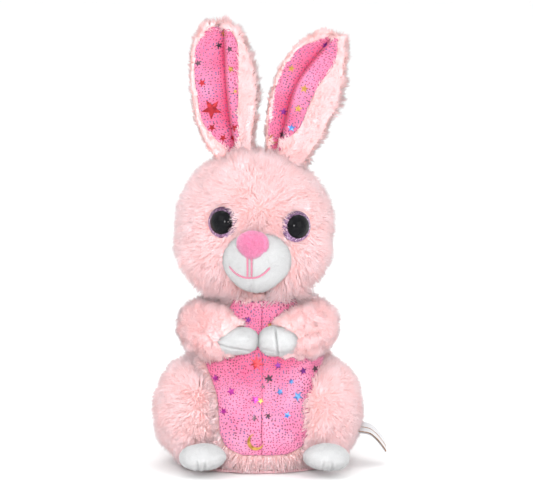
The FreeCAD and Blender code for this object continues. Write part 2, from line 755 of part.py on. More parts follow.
def gear(teeth, tooth, wide, turn):
    """A spur gear about the X axis with involute flanks, backlash and shortened tips. The turn is the
    angle of one tooth's middle from straight down."""
    pressure = math.radians(20)
    pitch = tooth * teeth / 2
    base = pitch * math.cos(pressure)
    tip = pitch + 0.75 * tooth
    root = pitch - 1.0 * tooth
    backlash = 0.1

    def half_angle(radius):
        lean = math.acos(min(1.0, base / radius))
        spread = math.tan(pressure) - pressure - math.tan(lean) + lean
        return (math.pi * tooth / 2 - backlash) / 2 / pitch + spread

    def point(radius, angle):
        return Vector(0, radius * math.sin(angle), -radius * math.cos(angle))

    start = max(base, root)
    middle = (start + tip) / 2
    edges = []
    step = 2 * math.pi / teeth
    for index in range(int(teeth)):
        centre = turn + index * step
        foot = half_angle(start)
        if root < base:
            edges.append(Part.makeLine(point(root, centre - foot), point(start, centre - foot)))
        rising = [(start, -foot), (middle, -half_angle(middle)), (tip, -half_angle(tip))]
        edges.append(Part.Arc(*[point(r, centre + a) for r, a in rising]).toShape())
        corner = half_angle(tip)
        edges.append(Part.Arc(*[point(tip, centre + a) for a in (-corner, 0, corner)]).toShape())
        edges.append(Part.Arc(*[point(r, centre - a) for r, a in reversed(rising)]).toShape())
        if root < base:
            edges.append(Part.makeLine(point(start, centre + foot), point(root, centre + foot)))
        edges.append(Part.Arc(*[point(root, centre + a) for a in (foot, step / 2, step - foot)]).toShape())
    face = Part.Face(Part.Wire(edges))
    return face.extrude(Vector(wide, 0, 0))


def set_gear(shape, start, height):
    shape.translate(Vector(number(start), 0, height))
    return shape


def shaft_bore(radius, height):
    return Part.makeCylinder(radius, 60, Vector(-30, 0, height), Vector(1, 0, 0))


def make_gears():
    coarse, fine, wide = number("tooth_coarse"), number("tooth_fine"), number("gear_wide")
    small, large, sector = number("gear_small_teeth"), number("gear_large_teeth"), number("sector_teeth")
    gap_up = math.pi + math.pi / small
    axle_bore = number("axle_radius + fit")
    layer_sector, layer_middle, layer_motor = [
        number(name) for name in ("layer_sector", "layer_middle", "layer_motor")]

    top = gear_height("sector")
    blank = set_gear(gear(sector, coarse, wide, 0.0), layer_sector, top)
    wedge_points = [(-4, 0), (-8, -17), (-8, -22), (8, -22), (8, -17), (4, 0), (-4, 0)]
    wedge = Part.Face(Part.makePolygon([Vector(layer_sector, y, top + z) for y, z in wedge_points]))
    toothed = blank.common(wedge.extrude(Vector(wide, 0, 0)))
    hub = Part.makeCylinder(5.0, 6.0, Vector(-4.0, 0, top), Vector(1, 0, 0))
    node("sector_gear", made_shape(toothed.fuse(hub).cut(shaft_bore(number("shaft_radius"), top))))

    height = gear_height("second")
    small_part = set_gear(gear(small, coarse, layer_middle - layer_sector, gap_up), layer_sector, height)
    large_part = set_gear(gear(large, coarse, wide, 0.0), layer_middle, height)
    node("gear_second", made_shape(small_part.fuse(large_part).cut(shaft_bore(axle_bore, height))))

    height = gear_height("first")
    small_part = set_gear(gear(small, coarse, layer_motor - layer_middle, gap_up), layer_middle, height)
    large_part = set_gear(gear(large, fine, wide, 0.0), layer_motor, height)
    node("gear_first", made_shape(small_part.fuse(large_part).cut(shaft_bore(axle_bore, height))))

    height = gear_height("motor")
    pinion = set_gear(gear(small, fine, wide, gap_up), layer_motor, height)
    node("motor_pinion", made_shape(pinion.cut(shaft_bore(number("motor_shaft"), height))))


def axle_form(name):
    at = ("-tower_half_x + 0.5", "0", gear_height(name))
    return cylinder("axle_radius", "2 * tower_half_x - 1", at, "+X")


def make_axles():
    for name in ("second", "first"):
        node("axle_" + name, axle_form(name))


def make_motor():
    height = gear_height("motor")
    back = "layer_motor - 0.5 - motor_long"
    can = overlap(
        cylinder("motor_wide / 2", "motor_long", (back, "0", height), "+X"),
        box((back, "-motor_wide / 2", height - number("motor_high") / 2),
            ("layer_motor - 0.5", "motor_wide / 2", height + number("motor_high") / 2)))
    bore = cylinder("motor_shaft + fit", "6", ("layer_motor - 6.4", "0", height), "+X")
    node("motor_can", cut(can, [bore]))
    node("motor_shaft", cylinder("motor_shaft", "9", ("layer_motor - 6.2", "0", height), "+X"))


# ---------------------------------------------------------------- gearbox halves, which form the neck post

SCREW_PLACES = [(y, z) for y in (-11.0, 11.0) for z in (28.0, 84.0)]
LEAD_X = "board_x - lead_radius"


def tower_outline(inset):
    y = "tower_half_y - %s" % inset
    top = "hinge_boss - %s" % inset
    foot = "base_case_top + %s" % inset
    neck = "head_z - tower_neck"
    return [
        ("-(%s)" % y, foot), (y, foot), (y, neck), (top, "head_z", top),
        ("0", "head_z + (%s)" % top, top), ("-(%s)" % top, "head_z"), ("-(%s)" % y, neck)]


def make_gearbox(side, word):
    body = new_body()
    backward = side < 0
    pad(body, outline_sketch(body, "YZ_Plane", tower_outline("0")), "tower_half_x", backward)
    inner = outline_sketch(body, "YZ_Plane", tower_outline("tower_wall"))
    pocket(body, inner, "tower_half_x - tower_wall", backward=side > 0)
    bosses = [
        cylinder("2.5", "tower_half_x - tower_wall", ("0", y, z), "+X" if side > 0 else "-X")
        for y, z in SCREW_PLACES]
    tools = [screw_form(y, z) for y, z in SCREW_PLACES]
    tools.append(cylinder("shaft_radius + fit", "60", ("-30", "0", "head_z"), "+X"))
    tools += [axle_form(name) for name in ("second", "first")]
    tools.append(cylinder("plunger_stem + fit", "6", ("0", "-tower_half_y - 1", "plunger_z"), "+Y"))
    lead_gap = "(lead_radius + 0.4)"
    for low, high in (("6", "tower_half_y + 3"), ("-tower_half_y - 3", "-6")):
        tools.append(box(
            ("%s - %s" % (LEAD_X, lead_gap), low, "base_case_top - 1"),
            ("%s + %s" % (LEAD_X, lead_gap), high, "base_case_top + 2.4")))
    if side > 0:
        tools += [
            box(("tower_half_x - tower_wall - 1", "%d - 0.7" % slot, "speaker_z - 7"),
                ("tower_half_x + 1", "%d + 0.7" % slot, "speaker_z + 7"))
            for slot in (-6, -3, 0, 3, 6)]
    node("gearbox_" + word, cut(join([body] + bosses), tools))


def screw_form(y, z):
    """A pan-head screw that comes in from the right and ends inside the left half."""
    shank = cylinder("0.9", "tower_half_x + 8", ("-tower_half_x + 1", y, z), "+X")
    head = cylinder("1.8", "1.2", ("-tower_half_x", y, z), "+X")
    return join([shank, head])


def make_gearbox_screws():
    node("gearbox_screws", group([screw_form(y, z) for y, z in SCREW_PLACES]))


# ---------------------------------------------------------------- electronics and press switch

def make_boards():
    board = box(
        ("board_x", "-board_half_y", "board_bottom"),
        ("board_x + board_thick", "board_half_y", "board_top"))
    node("circuit_board", board)
    face = "board_x + board_thick"
    parts = [
        box((face, "-5.5", "50"), ("%s + 1.4" % face, "0.5", "57")),
        box((face, "2.5", "51"), ("%s + 1.2" % face, "6", "54.5")),
        box((face, "-6.5", "25"), ("%s + 1.1" % face, "-3.5", "28")),
        cylinder("2.0", "5", (face, "4.5", "26.5"), "+X"),
    ]
    node("board_parts", group(parts))


def make_speaker():
    back = "tower_half_x - tower_wall - speaker_thick"
    rim = cylinder("speaker_radius", "1.5", ("tower_half_x - tower_wall - 1.5", "0", "speaker_z"), "+X")
    magnet = cylinder("speaker_radius * 0.6", "speaker_thick", (back, "0", "speaker_z"), "+X")
    cone_start = ("tower_half_x - tower_wall - 0.8", "0", "speaker_z")
    cone_room = cylinder("speaker_radius - 2", "1.2", cone_start, "+X")
    node("speaker", cut(join([rim, magnet]), [cone_room]))


def make_microphone():
    node("microphone", cylinder("3", "2.7", ("0", "-tower_half_y + tower_wall", "66"), "+Y"))


def make_plunger():
    front = "-tower_half_y - plunger_out"
    cap = cylinder("plunger_radius", "plunger_cap", ("0", front, "plunger_z"), "+Y")
    stem = cylinder("plunger_stem", "plunger_long", ("0", "%s + plunger_cap" % front, "plunger_z"), "+Y")
    node("tummy_plunger", join([cap, stem]))
    node("tummy_switch", box(("-3", "-7.2", "plunger_z - 3"), ("3", "-4.5", "plunger_z + 3")))
    board = box(
        ("board_x + board_thick", "-4.5", "plunger_z - 6"),
        ("4.5", "-3.3", "plunger_z + 6"))
    node("switch_board", board)
    reach = number("plunger_out - plunger_cap - 0.1")
    at = Vector(0, number("-tower_half_y - 0.05"), number("plunger_z"))
    node("plunger_spring", made_shape(coil(at, -reach, radius=3.6, wire=0.35, turns=2)))


def make_leads():
    """Insulated leads inside the gearbox, each from one soldered end to the other."""
    motor_bottom = gear_height("motor") - number("motor_high") / 2
    solder_z = number("board_top") - 3.0
    motor_leads = [
        cylinder("lead_radius", motor_bottom - solder_z, (LEAD_X, y, solder_z), "+Z") for y in (-2.6, 2.6)]
    speaker_leads = [
        cylinder("lead_radius", "tower_half_x - tower_wall - speaker_thick - board_x - board_thick",
                 ("board_x + board_thick", y, "speaker_z + 3"), "+X") for y in (-0.8, 2.4)]
    battery_leads = [made_shape(bent_lead(end)) for end in (1, -1)]
    node("leads", group(motor_leads + speaker_leads + battery_leads))


def bent_lead(end):
    """A lead from a contact tab along the roof of the bay, then up the back of the circuit board."""
    x = number(LEAD_X)
    low = number("base_case_top") + 0.9
    far, near, rise = end * (number("bay_half_y") - 1.15), end * 7.0, 3.0
    bend = math.sqrt(0.5)
    path = Part.Wire([
        Part.makeLine(Vector(x, far, low), Vector(x, near + end * rise, low)),
        Part.Arc(
            Vector(x, near + end * rise, low),
            Vector(x, near + end * rise * (1 - bend), low + rise * (1 - bend)),
            Vector(x, near, low + rise)).toShape(),
        Part.makeLine(Vector(x, near, low + rise), Vector(x, near, low + rise + 6.0)),
    ])
    profile = Part.Wire(Part.makeCircle(number("lead_radius"), Vector(x, far, low), Vector(0, 1, 0)))
    return path.makePipeShell([profile], True, True)


# ---------------------------------------------------------------- build and write

def build():
    make_base_cloth()
    make_base_case()
    make_battery_door()
    make_door_screw()
    make_cells()
    make_contacts()
    make_power_switch()
    make_torso()
    make_belly_panels()
    both_sides(make_haunch)
    both_sides(make_foot)
    make_tail()
    make_label()
    both_sides(make_arm)
    make_head()
    make_head_frame()
    make_muzzle()
    make_mouth()
    both_sides(make_eye)
    both_sides(make_ear)
    make_gears()
    make_axles()
    make_motor()
    both_sides(make_gearbox)
    make_gearbox_screws()
    make_boards()
    make_speaker()
    make_microphone()
    make_plunger()
    make_leads()
    doc.recompute()


def write():
    faults = [item.Name for item in doc.Objects if "Invalid" in item.State or "Error" in item.State]
    os.makedirs("parts", exist_ok=True)
    for item in NODES:
        shape = item.Shape
        if shape.isNull() or not shape.isValid() or not shape.Solids or shape.Volume <= 0:
            faults.append(item.Label)
            continue
        shape.exportStep("parts/%s.step" % item.Label)
        print("%-20s solids %d volume %.1f" % (item.Label, len(shape.Solids), shape.Volume))
    if faults:
        raise RuntimeError("faulty: " + ", ".join(faults))


build()
write()
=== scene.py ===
import json
import math

import bmesh
import bpy
import numpy as np
from mathutils import Matrix, Vector, kdtree


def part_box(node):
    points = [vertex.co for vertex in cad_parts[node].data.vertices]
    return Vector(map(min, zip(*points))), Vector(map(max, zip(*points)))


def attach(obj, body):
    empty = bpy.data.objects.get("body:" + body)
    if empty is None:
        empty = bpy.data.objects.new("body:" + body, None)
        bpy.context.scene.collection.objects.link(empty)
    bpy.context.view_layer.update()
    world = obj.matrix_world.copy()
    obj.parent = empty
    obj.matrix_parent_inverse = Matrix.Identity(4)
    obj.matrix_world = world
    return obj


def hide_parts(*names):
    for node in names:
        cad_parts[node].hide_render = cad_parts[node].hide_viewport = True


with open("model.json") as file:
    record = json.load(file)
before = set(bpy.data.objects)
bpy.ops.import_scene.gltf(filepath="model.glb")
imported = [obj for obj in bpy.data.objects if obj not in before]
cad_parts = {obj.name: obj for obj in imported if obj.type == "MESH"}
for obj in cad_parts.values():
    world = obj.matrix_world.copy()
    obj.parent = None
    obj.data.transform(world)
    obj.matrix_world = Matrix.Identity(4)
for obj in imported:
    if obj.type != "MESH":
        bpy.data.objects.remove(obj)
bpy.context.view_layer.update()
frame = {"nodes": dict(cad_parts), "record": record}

MM = 0.001
SIDES = {"left": 1, "right": -1}
AXIS_X = -1.5 * MM          # the middle of the torso
FLOOR_GAP = 0.4 * MM        # the lowest that a hair reaches
PALE_TIP = (0.86, 0.71, 0.745)
# the root colour below is deeper than the tips: partly the pile's own tone, partly painted shade deep in the
# pile
SHADED_PALE_ROOT = (0.90, 0.60, 0.595)
WHITE = (1.0, 1.0, 1.0)


# ---------------------------------------------------------------- small helpers

def mm(*values):
    return np.array(values, float) * MM


def middle(node):
    low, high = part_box(node)
    return np.array((low + high) / 2)


def half_size(node):
    low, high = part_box(node)
    return (np.array(high) - np.array(low)) / 2


def unit(vectors):
    length = np.linalg.norm(vectors, axis=-1, keepdims=True)
    return vectors / np.maximum(length, 1e-12)


def smooth_step(value, low, high):
    t = np.clip((value - low) / (high - low), 0, 1)
    return t * t * (3 - 2 * t)


def waves(points, size, seed):
    """Smooth noise from -1 to 1, from a few sine waves in seeded directions; size is in metres."""
    rng = np.random.default_rng(seed)
    total = np.zeros(len(points))
    for _ in range(7):
        way = unit(rng.normal(size=3))
        total += np.sin(points @ way * (2 * math.pi / size) * rng.uniform(0.7, 1.4) + rng.uniform(0, 6.28))
    return total / 4.0


def flat_waves(across, up, size, seed):
    return waves(np.stack([across, up, up * 0], axis=1), size, seed)


def travel_along(points):
    """The length of a line up to each of its points."""
    steps = np.linalg.norm(np.diff(points, axis=0), axis=1)
    return np.concatenate([[0.0], np.cumsum(steps)])


def circle(centre, radius, first, second, angles):
    return centre + radius * (np.outer(np.cos(angles), first) + np.outer(np.sin(angles), second))


def read_rows(items, key, width, kind=float):
    """One property of all the vertices, corners or triangles of a mesh."""
    values = np.zeros(len(items) * width, kind)
    items.foreach_get(key, values)
    return values.reshape(-1, width)


def show(name, data):
    item = bpy.data.objects.new(name, data)
    bpy.context.scene.collection.objects.link(item)
    return item


def new_mesh(name, verts, faces):
    data = bpy.data.meshes.new(name)
    data.from_pydata([tuple(v) for v in verts], [], [tuple(f) for f in faces])
    data.update()
    data.polygons.foreach_set("use_smooth", [True] * len(data.polygons))
    return show(name, data)


def give(item, material, body, replaced=()):
    """Finish a piece: its material, the body that it rides on and the CAD nodes it stands for."""
    item.data.materials.append(material)
    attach(item, body)
    if replaced:
        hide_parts(*replaced)


# ---------------------------------------------------------------- soft forms

def grid_faces(rows, columns, close_columns=True):
    """Quads of a grid whose columns run round a closed loop."""
    faces = []
    last = columns if close_columns else columns - 1
    for i in range(rows - 1):
        for j in range(last):
            k = (j + 1) % columns
            faces.append((i * columns + j, i * columns + k, (i + 1) * columns + k, (i + 1) * columns + j))
    return faces


def signed_volume(verts, faces):
    """Six times the volume inside the faces; below zero when they face inwards."""
    total = 0.0
    for face in faces:
        for k in range(1, len(face) - 1):
            total += np.dot(verts[face[0]], np.cross(verts[face[k]], verts[face[k + 1]]))
    return total


def tube_form(name, rings):
    """A closed skin through rings of equally many points, with a point at each end."""
    rows, columns = len(rings), len(rings[0])
    verts = [p for ring in rings for p in ring]
    faces = grid_faces(rows, columns)
    for row, flip in ((0, True), (rows - 1, False)):
        verts.append(np.mean(rings[row], axis=0))
        tip = len(verts) - 1
        for j in range(columns):
            a, b = row * columns + j, row * columns + (j + 1) % columns
            faces.append((b, a, tip) if flip else (a, b, tip))
    if signed_volume(np.array(verts), faces) < 0:
        faces = [tuple(reversed(face)) for face in faces]
    return new_mesh(name, verts, faces)


def ball_directions(level):
    """Points and triangles of an even ball."""
    ball = bmesh.new()
    bmesh.ops.create_icosphere(ball, subdivisions=level, radius=1.0)
    verts = np.array([v.co[:] for v in ball.verts])
    faces = [tuple(v.index for v in f.verts) for f in ball.faces]
    ball.free()
    return verts, faces


def blob_field(points, blobs, blend):
    """Above zero inside a smooth union of ellipsoids given as (middle, half sizes, turn matrix or None)."""
    total = np.zeros(len(points))
    for centre, radii, turn in blobs:
        local = points - centre
        if turn is not None:
            local = local @ turn
        reach = np.linalg.norm(local / radii, axis=1)
        total += np.exp(-blend * (reach - 1.0))
    return total - 1.0


FARTHEST = 0.12             # no soft form reaches farther from its middle
HALVINGS = 26


def blob_form(name, centre, blobs, blend=7.0, level=6, shape=None):
    """A smooth union of ellipsoids, whose surface is found by halving the way out from one middle point."""
    ways, faces = ball_directions(level)
    low = np.zeros(len(ways))
    high = np.full(len(ways), FARTHEST)
    for _ in range(HALVINGS):
        half = (low + high) / 2
        inside = blob_field(centre + ways * half[:, None], blobs, blend) > 0
        low = np.where(inside, half, low)
        high = np.where(inside, high, half)
    points = centre + ways * low[:, None]
    if shape is not None:
        points = shape(points)
    return new_mesh(name, points, faces)


# ---------------------------------------------------------------- fur

def surface_samples(item, count, rng):
    """Random points on a mesh, even by area, with their smooth normals."""
    data = item.data
    data.calc_loop_triangles()
    tris = read_rows(data.loop_triangles, "vertices", 3, np.int64)
    verts = read_rows(data.vertices, "co", 3)
    normals = read_rows(data.vertices, "normal", 3)
    a, b, c = verts[tris[:, 0]], verts[tris[:, 1]], verts[tris[:, 2]]
    area = np.linalg.norm(np.cross(b - a, c - a), axis=1)
    cumulative = np.cumsum(area) / area.sum()
    pick = np.searchsorted(cumulative, (np.arange(count) + rng.random(count)) / count)
    pick = np.minimum(pick, len(tris) - 1)
    r1, r2 = np.sqrt(rng.random(count)), rng.random(count)
    weights = np.stack([1 - r1, r1 * (1 - r2), r1 * r2], axis=1)
    points = sum(weights[:, k:k + 1] * verts[tris[pick, k]] for k in range(3))
    facing = unit(sum(weights[:, k:k + 1] * normals[tris[pick, k]] for k in range(3)))
    return points, facing


def clump_targets(points, share, rng):
    """For each root, the root of the tuft that it belongs to."""
    chosen = rng.choice(len(points), max(4, int(len(points) * share)), replace=False)
    tree = kdtree.KDTree(len(chosen))
    for index, which in enumerate(chosen):
        tree.insert(points[which], index)
    tree.balance()
    nearest = np.array([tree.find(p)[1] for p in points])
    return chosen[nearest]


HAIR_FACES = [(0, 1, 4, 3), (1, 2, 5, 4), (2, 0, 3, 5), (3, 4, 6), (4, 5, 6), (5, 3, 6), (2, 1, 0)]
HAIR_ALONG = np.array([0.02, 0.02, 0.02, 0.5, 0.5, 0.5, 0.98])
HAIR_ACROSS = np.array([-1.0, 0.0, 1.0, -1.0, 0.0, 1.0, 0.0])
HAIR_POINTS = len(HAIR_ALONG)


def fur(name, skin, count, comb, body, seed, length, lift, width, keep=None, size=None, clump=0.34,
        share=0.014, parts=1, material=None):
    """Pile grown on a skin: closed tapering hairs, bent along the comb and gathered into tufts.
    length and width are in millimetres, and lift is how far the hairs stand off the skin. keep tells
    which roots stay, size the length of each hair as a share of the full one, clump how far hairs lean
    to the leader of their tuft, and share how many of them are leaders."""
    rng = np.random.default_rng(seed)
    points, facing = surface_samples(skin, count, rng)
    if keep is not None:
        kept = keep(points, facing) > rng.random(len(points))
        points, facing = points[kept], facing[kept]
    total = len(points)

    # the way along the skin, with some wandering
    along = comb(points, facing)
    strength = np.minimum(np.linalg.norm(along, axis=1, keepdims=True), 1.0)
    along = along + 0.45 * np.stack([waves(points, 0.016, seed + k) for k in range(3)], axis=1)
    along = unit(along - facing * np.sum(along * facing, axis=1, keepdims=True))
    across = unit(np.cross(facing, along))

    # the middle and the end of each hair
    reach = length * MM * (0.8 + 0.4 * rng.random(total)) * (1 + 0.18 * waves(points, 0.022, seed + 9))
    if size is not None:
        reach = reach * size(points)
    stand = np.clip(lift + 0.16 * waves(points, 0.012, seed + 5), 0.15, 1.2)[:, None]
    way = unit(facing * stand + along * strength * 0.62 + rng.normal(size=(total, 3)) * 0.275)
    end = points + way * reach[:, None]
    half = points + (way * 0.42 + facing * 0.16) * reach[:, None]

    # tufts
    target = clump_targets(points, share, rng)
    pull = (clump * (0.6 + 0.4 * rng.random(total)))[:, None]
    end = end * (1 - pull) + end[target] * pull
    half = half * (1 - 0.45 * pull) + half[target] * 0.45 * pull

    # a three-sided stalk with its foot sunk in the skin
    root = points - facing * 0.5 * MM
    thick = width * MM * (0.8 + 0.4 * rng.random(total))
    verts = np.zeros((total, HAIR_POINTS, 3))
    side = unit(np.cross(half - root, across))
    for k in range(3):
        angle = k * 2 * math.pi / 3
        ring = across * math.cos(angle) + side * math.sin(angle)
        verts[:, k] = root + ring * thick[:, None]
        verts[:, 3 + k] = half + ring * (thick * 0.82)[:, None]
    verts[:, 6] = end
    verts[..., 2] = np.maximum(verts[..., 2], FLOOR_GAP)

    # light or dark tone of each hair and tuft, and soft shading normals
    shade = 0.5 + 0.20 * waves(points, 0.02, seed + 20) + 0.14 * rng.normal(size=total)
    shade = np.clip(shade + rng.normal(size=total)[target] * 0.16, 0.02, 0.98)
    coat = unit(facing * 0.9 + way * 0.25)
    rings = unit(verts - np.stack([root] * 3 + [half] * 3 + [end - way * MM], axis=1))
    soft = unit(coat[:, None, :] * 0.5 + rings * 0.62)

    # pieces of equal size, each with the hairs of one part of the skin
    order = np.argsort(np.argsort(waves(points, 0.2, seed + 77)))
    group = (order * parts) // max(total, 1)
    for index in range(parts):
        use = group == index
        title = name if parts == 1 else "%s_%d" % (name, index + 1)
        item = hair_mesh(title, verts[use], soft[use], shade[use])
        give(item, material or MATERIALS["fur"], body)


def hair_mesh(name, verts, normals, shade):
    """One mesh of many hairs; its UV map runs root to tip, with the hair's shade across."""
    total = len(verts)
    corners = np.array([corner for face in HAIR_FACES for corner in face])
    loops = (np.arange(total)[:, None] * HAIR_POINTS + corners[None, :]).ravel()
    sizes = np.tile([len(face) for face in HAIR_FACES], total)
    starts = np.concatenate([[0], np.cumsum(sizes)[:-1]])
    data = bpy.data.meshes.new(name)
    data.vertices.add(total * HAIR_POINTS)
    data.vertices.foreach_set("co", verts.reshape(-1).astype(np.float32))
    data.loops.add(len(loops))
    data.loops.foreach_set("vertex_index", loops.astype(np.int32))
    data.polygons.add(len(sizes))
    data.polygons.foreach_set("loop_start", starts.astype(np.int32))
    data.polygons.foreach_set("use_smooth", np.ones(len(sizes), bool))
    layer = data.uv_layers.new(name="OFBake")
    u = (shade[:, None] + 0.012 * HAIR_ACROSS[None, :])[:, corners]
    v = np.broadcast_to(HAIR_ALONG[corners], u.shape)
    layer.data.foreach_set("uv", np.stack([np.clip(u, 0, 1), v], axis=-1).reshape(-1).astype(np.float32))
    data.update(calc_edges=True)
    data.validate()
    data.normals_split_custom_set_from_vertices(normals.reshape(-1, 3).astype(np.float32))
    return show(name, data)


# ---------------------------------------------------------------- materials

class Nodes:
    """Short names for building a node material."""

    def __init__(self, name, **settings):
        self.material = bpy.data.materials.new(name)
        self.material.use_nodes = True
        self.tree = self.material.node_tree
        self.shader = self.tree.nodes["Principled BSDF"]
        for key, value in settings.items():
            self.shader.inputs[key.replace("_", " ")].default_value = value

    def add(self, kind, **values):
        """A node, with its settings and the plain numbers of its sockets."""
        node = self.tree.nodes.new("ShaderNode" + kind)
        for key, value in values.items():
            if hasattr(node, key):
                setattr(node, key, value)
            else:
                node.inputs[key.replace("_", " ")].default_value = value
        return node

    def feed(self, value, target):
        """Link another node's socket, or set a number."""
        if hasattr(value, "is_linked"):
            self.tree.links.new(value, target)
        else:
            target.default_value = value

    def colour(self, source):
        self.feed(source, self.shader.inputs["Base Color"])

    def bump(self, height, strength, distance):
        node = self.add("Bump", Strength=strength, Distance=distance)
        self.feed(height, node.inputs["Height"])
        self.feed(node.outputs["Normal"], self.shader.inputs["Normal"])

    def ramp(self, source, stops):
        """A colour ramp; the first two stops are its ends."""
        ramp = self.add("ValToRGB")
        elements = ramp.color_ramp.elements
        for index, (place, colour) in enumerate(stops):
            element = elements[index] if index < 2 else elements.new(place)
            element.position = place
            element.color = colour + (1.0,)
        self.feed(source, ramp.inputs["Fac"])
        return ramp.outputs["Color"]

    def mix(self, factor, first, second, kind="MIX"):
        node = self.add("Mix", data_type="RGBA", blend_type=kind)
        for name, value in (("Factor", factor), ("A", first), ("B", second)):
            self.feed(value, [s for s in node.inputs if s.name == name and s.enabled][0])
        return [s for s in node.outputs if s.enabled][0]

    def math(self, operation, first, second):
        node = self.add("Math", operation=operation)
        self.feed(first, node.inputs[0])
        self.feed(second, node.inputs[1])
        return node.outputs[0]

    def fit(self, value, low, high, new_low, new_high):
        node = self.add("MapRange", From_Min=low, From_Max=high, To_Min=new_low, To_Max=new_high)
        self.feed(value, node.inputs["Value"])
        return node.outputs["Result"]

    def split(self, vector):
        node = self.add("SeparateXYZ")
        self.feed(vector, node.inputs["Vector"])
        return node.outputs

    def object_place(self):
        return self.add("TexCoord").outputs["Object"]

    def flat_map(self, name):
        return self.add("UVMap", uv_map=name).outputs["UV"]

    def texture(self, kind, place, **settings):
        node = self.add("Tex" + kind, **settings)
        self.feed(place, node.inputs["Vector"])
        return node.outputs

    def noise(self, scale, detail, place=None):
        return self.texture("Noise", place or self.object_place(), Scale=scale, Detail=detail)["Fac"]


def pile_nodes(name, root, tip, shadow, *between, **settings):
    """Hairs that lighten towards the tips, their darker roots partly painted shade deep in the pile; each
    one a little darker or lighter than the next.
    """
    nodes = Nodes(name, Specular_IOR_Level=0.1, **settings)
    split = nodes.split(nodes.flat_map("OFBake"))
    along = nodes.ramp(split["Y"], [(0.0, root), (1.0, tip), *between])
    light = nodes.ramp(split["X"], [(0.0, shadow), (1.0, WHITE)])
    nodes.colour(nodes.mix(1.0, along, light, "MULTIPLY"))
    return nodes


def fur_material():
    """Pale pile, deeper at the roots, partly its own tone and partly painted shade; light spreads between
    the fine hairs.
    """
    between = tuple(0.3 * a + 0.7 * b for a, b in zip(SHADED_PALE_ROOT, PALE_TIP))
    nodes = pile_nodes(
        "plush_pile", SHADED_PALE_ROOT, PALE_TIP, (0.95, 0.80, 0.78), (0.45, between),
        Roughness=0.8, Sheen_Weight=0.3, Sheen_Roughness=0.6, Sheen_Tint=(1.0, 0.88, 0.87, 1.0),
        Subsurface_Weight=0.3, Subsurface_Radius=(1.0, 0.6, 0.55), Subsurface_Scale=0.0025)
    nodes.shader.subsurface_method = "BURLEY"
    return nodes.material


def pile_material(name, root, tip):
    return pile_nodes(name, root, tip, (0.86, 0.86, 0.86), Roughness=0.9, Sheen_Weight=0.4).material


def speckled_material(name, fine, speckle, broad, patches, bump, **settings):
    """Short pile: a fine speckle under soft broad patches. fine and broad are noise scales and details."""
    nodes = Nodes(name, **settings)
    grain = nodes.noise(*fine)
    patch = nodes.ramp(nodes.noise(*broad), patches)
    nodes.colour(nodes.mix(1.0, nodes.ramp(grain, speckle), patch, "MULTIPLY"))
    nodes.bump(grain, *bump)
    return nodes.material


def velour_material(name, shade):
    """Short white pile with a strong sheen at the edges."""
    speckle = [(0.25, (0.61, 0.612, 0.615)), (0.65, (0.73, 0.735, 0.74))]
    patches = [(0.3, (0.93 * shade,) * 3), (0.7, (shade,) * 3)]
    return speckled_material(
        name, (2600.0, 2.0), speckle, (160.0, 3.0), patches, (0.35, 0.0003),
        Roughness=0.95, Sheen_Weight=0.6, Sheen_Roughness=0.45, Specular_IOR_Level=0.1)


def flock_material():
    speckle = [(0.3, (0.72, 0.15, 0.32)), (0.72, (0.93, 0.36, 0.56))]
    patches = [(0.3, (0.86, 0.8, 0.84)), (0.7, WHITE)]
    return speckled_material(
        "pink_flock", (2200.0, 2.0), speckle, (220.0, 2.0), patches, (0.6, 0.0004),
        Roughness=0.9, Sheen_Weight=0.7, Sheen_Roughness=0.35, Sheen_Tint=(1.0, 0.6, 0.78, 1.0))


def banded_material(name, direction, scale, stops, bump, **settings):
    """Fine bands, as of twisted or woven thread."""
    nodes = Nodes(name, **settings)
    bands = nodes.texture("Wave", nodes.object_place(), bands_direction=direction, Scale=scale)["Fac"]
    nodes.colour(nodes.ramp(bands, stops))
    nodes.bump(bands, *bump)
    return nodes.material


def plain_material(name, low, high, scale=500.0, bump=(0.15, 0.0001), **settings):
    """A surface with a fine uneven tone and grain."""
    nodes = Nodes(name, **settings)
    tone = nodes.noise(scale, 4.0)
    nodes.colour(nodes.ramp(tone, [(0.3, low), (0.7, high)]))
    nodes.bump(tone, *bump)
    return nodes.material


def woven_material():
    nodes = Nodes("woven_base", Roughness=0.85, Sheen_Weight=0.3)
    uv = nodes.flat_map("cloth")
    warp, weft = [
        nodes.texture("Wave", uv, bands_direction=way, Scale=420.0, Distortion=0.6)["Fac"] for way in "XY"]
    weave = nodes.math("MULTIPLY", warp, weft)
    nodes.colour(nodes.ramp(weave, [(0.05, (0.74, 0.40, 0.44)), (0.7, (0.92, 0.62, 0.65))]))
    nodes.bump(weave, 0.5, 0.0003)
    return nodes.material


def foil_dots(nodes, uv):
    """Where the foil dots are, in wandering rows, and the colour of each."""
    drift = nodes.texture("Noise", uv, Scale=38.0, Detail=1.0)["Color"]
    shift = nodes.add("VectorMath", operation="SCALE", Scale=0.009)
    nodes.feed(drift, shift.inputs[0])
    moved = nodes.add("VectorMath", operation="ADD")
    nodes.feed(uv, moved.inputs[0])
    nodes.feed(shift.outputs[0], moved.inputs[1])
    dots = nodes.texture("Voronoi", moved.outputs[0], voronoi_dimensions="2D", Scale=610.0, Randomness=0.72)
    swell = nodes.math("MULTIPLY", nodes.noise(95.0, 2.0, uv), 0.22)
    gap = nodes.math("ADD", dots["Distance"], nodes.math("SUBTRACT", swell, 0.10))
    mask = nodes.fit(gap, 0.20, 0.27, 1.0, 0.0)
    own = nodes.math("MULTIPLY", nodes.split(dots["Color"])["X"], 0.3)
    region = nodes.math("MULTIPLY", nodes.noise(30.0, 1.0, uv), 0.9)
    foil = nodes.ramp(nodes.math("ADD", own, region), [
        (0.10, (0.02, 0.015, 0.05)), (1.0, (0.35, 0.17, 0.03)), (0.30, (0.16, 0.008, 0.04)),
        (0.46, (0.32, 0.01, 0.09)), (0.58, (0.05, 0.02, 0.03)), (0.70, (0.07, 0.10, 0.26)),
        (0.82, (0.20, 0.07, 0.03))])
    return mask, foil


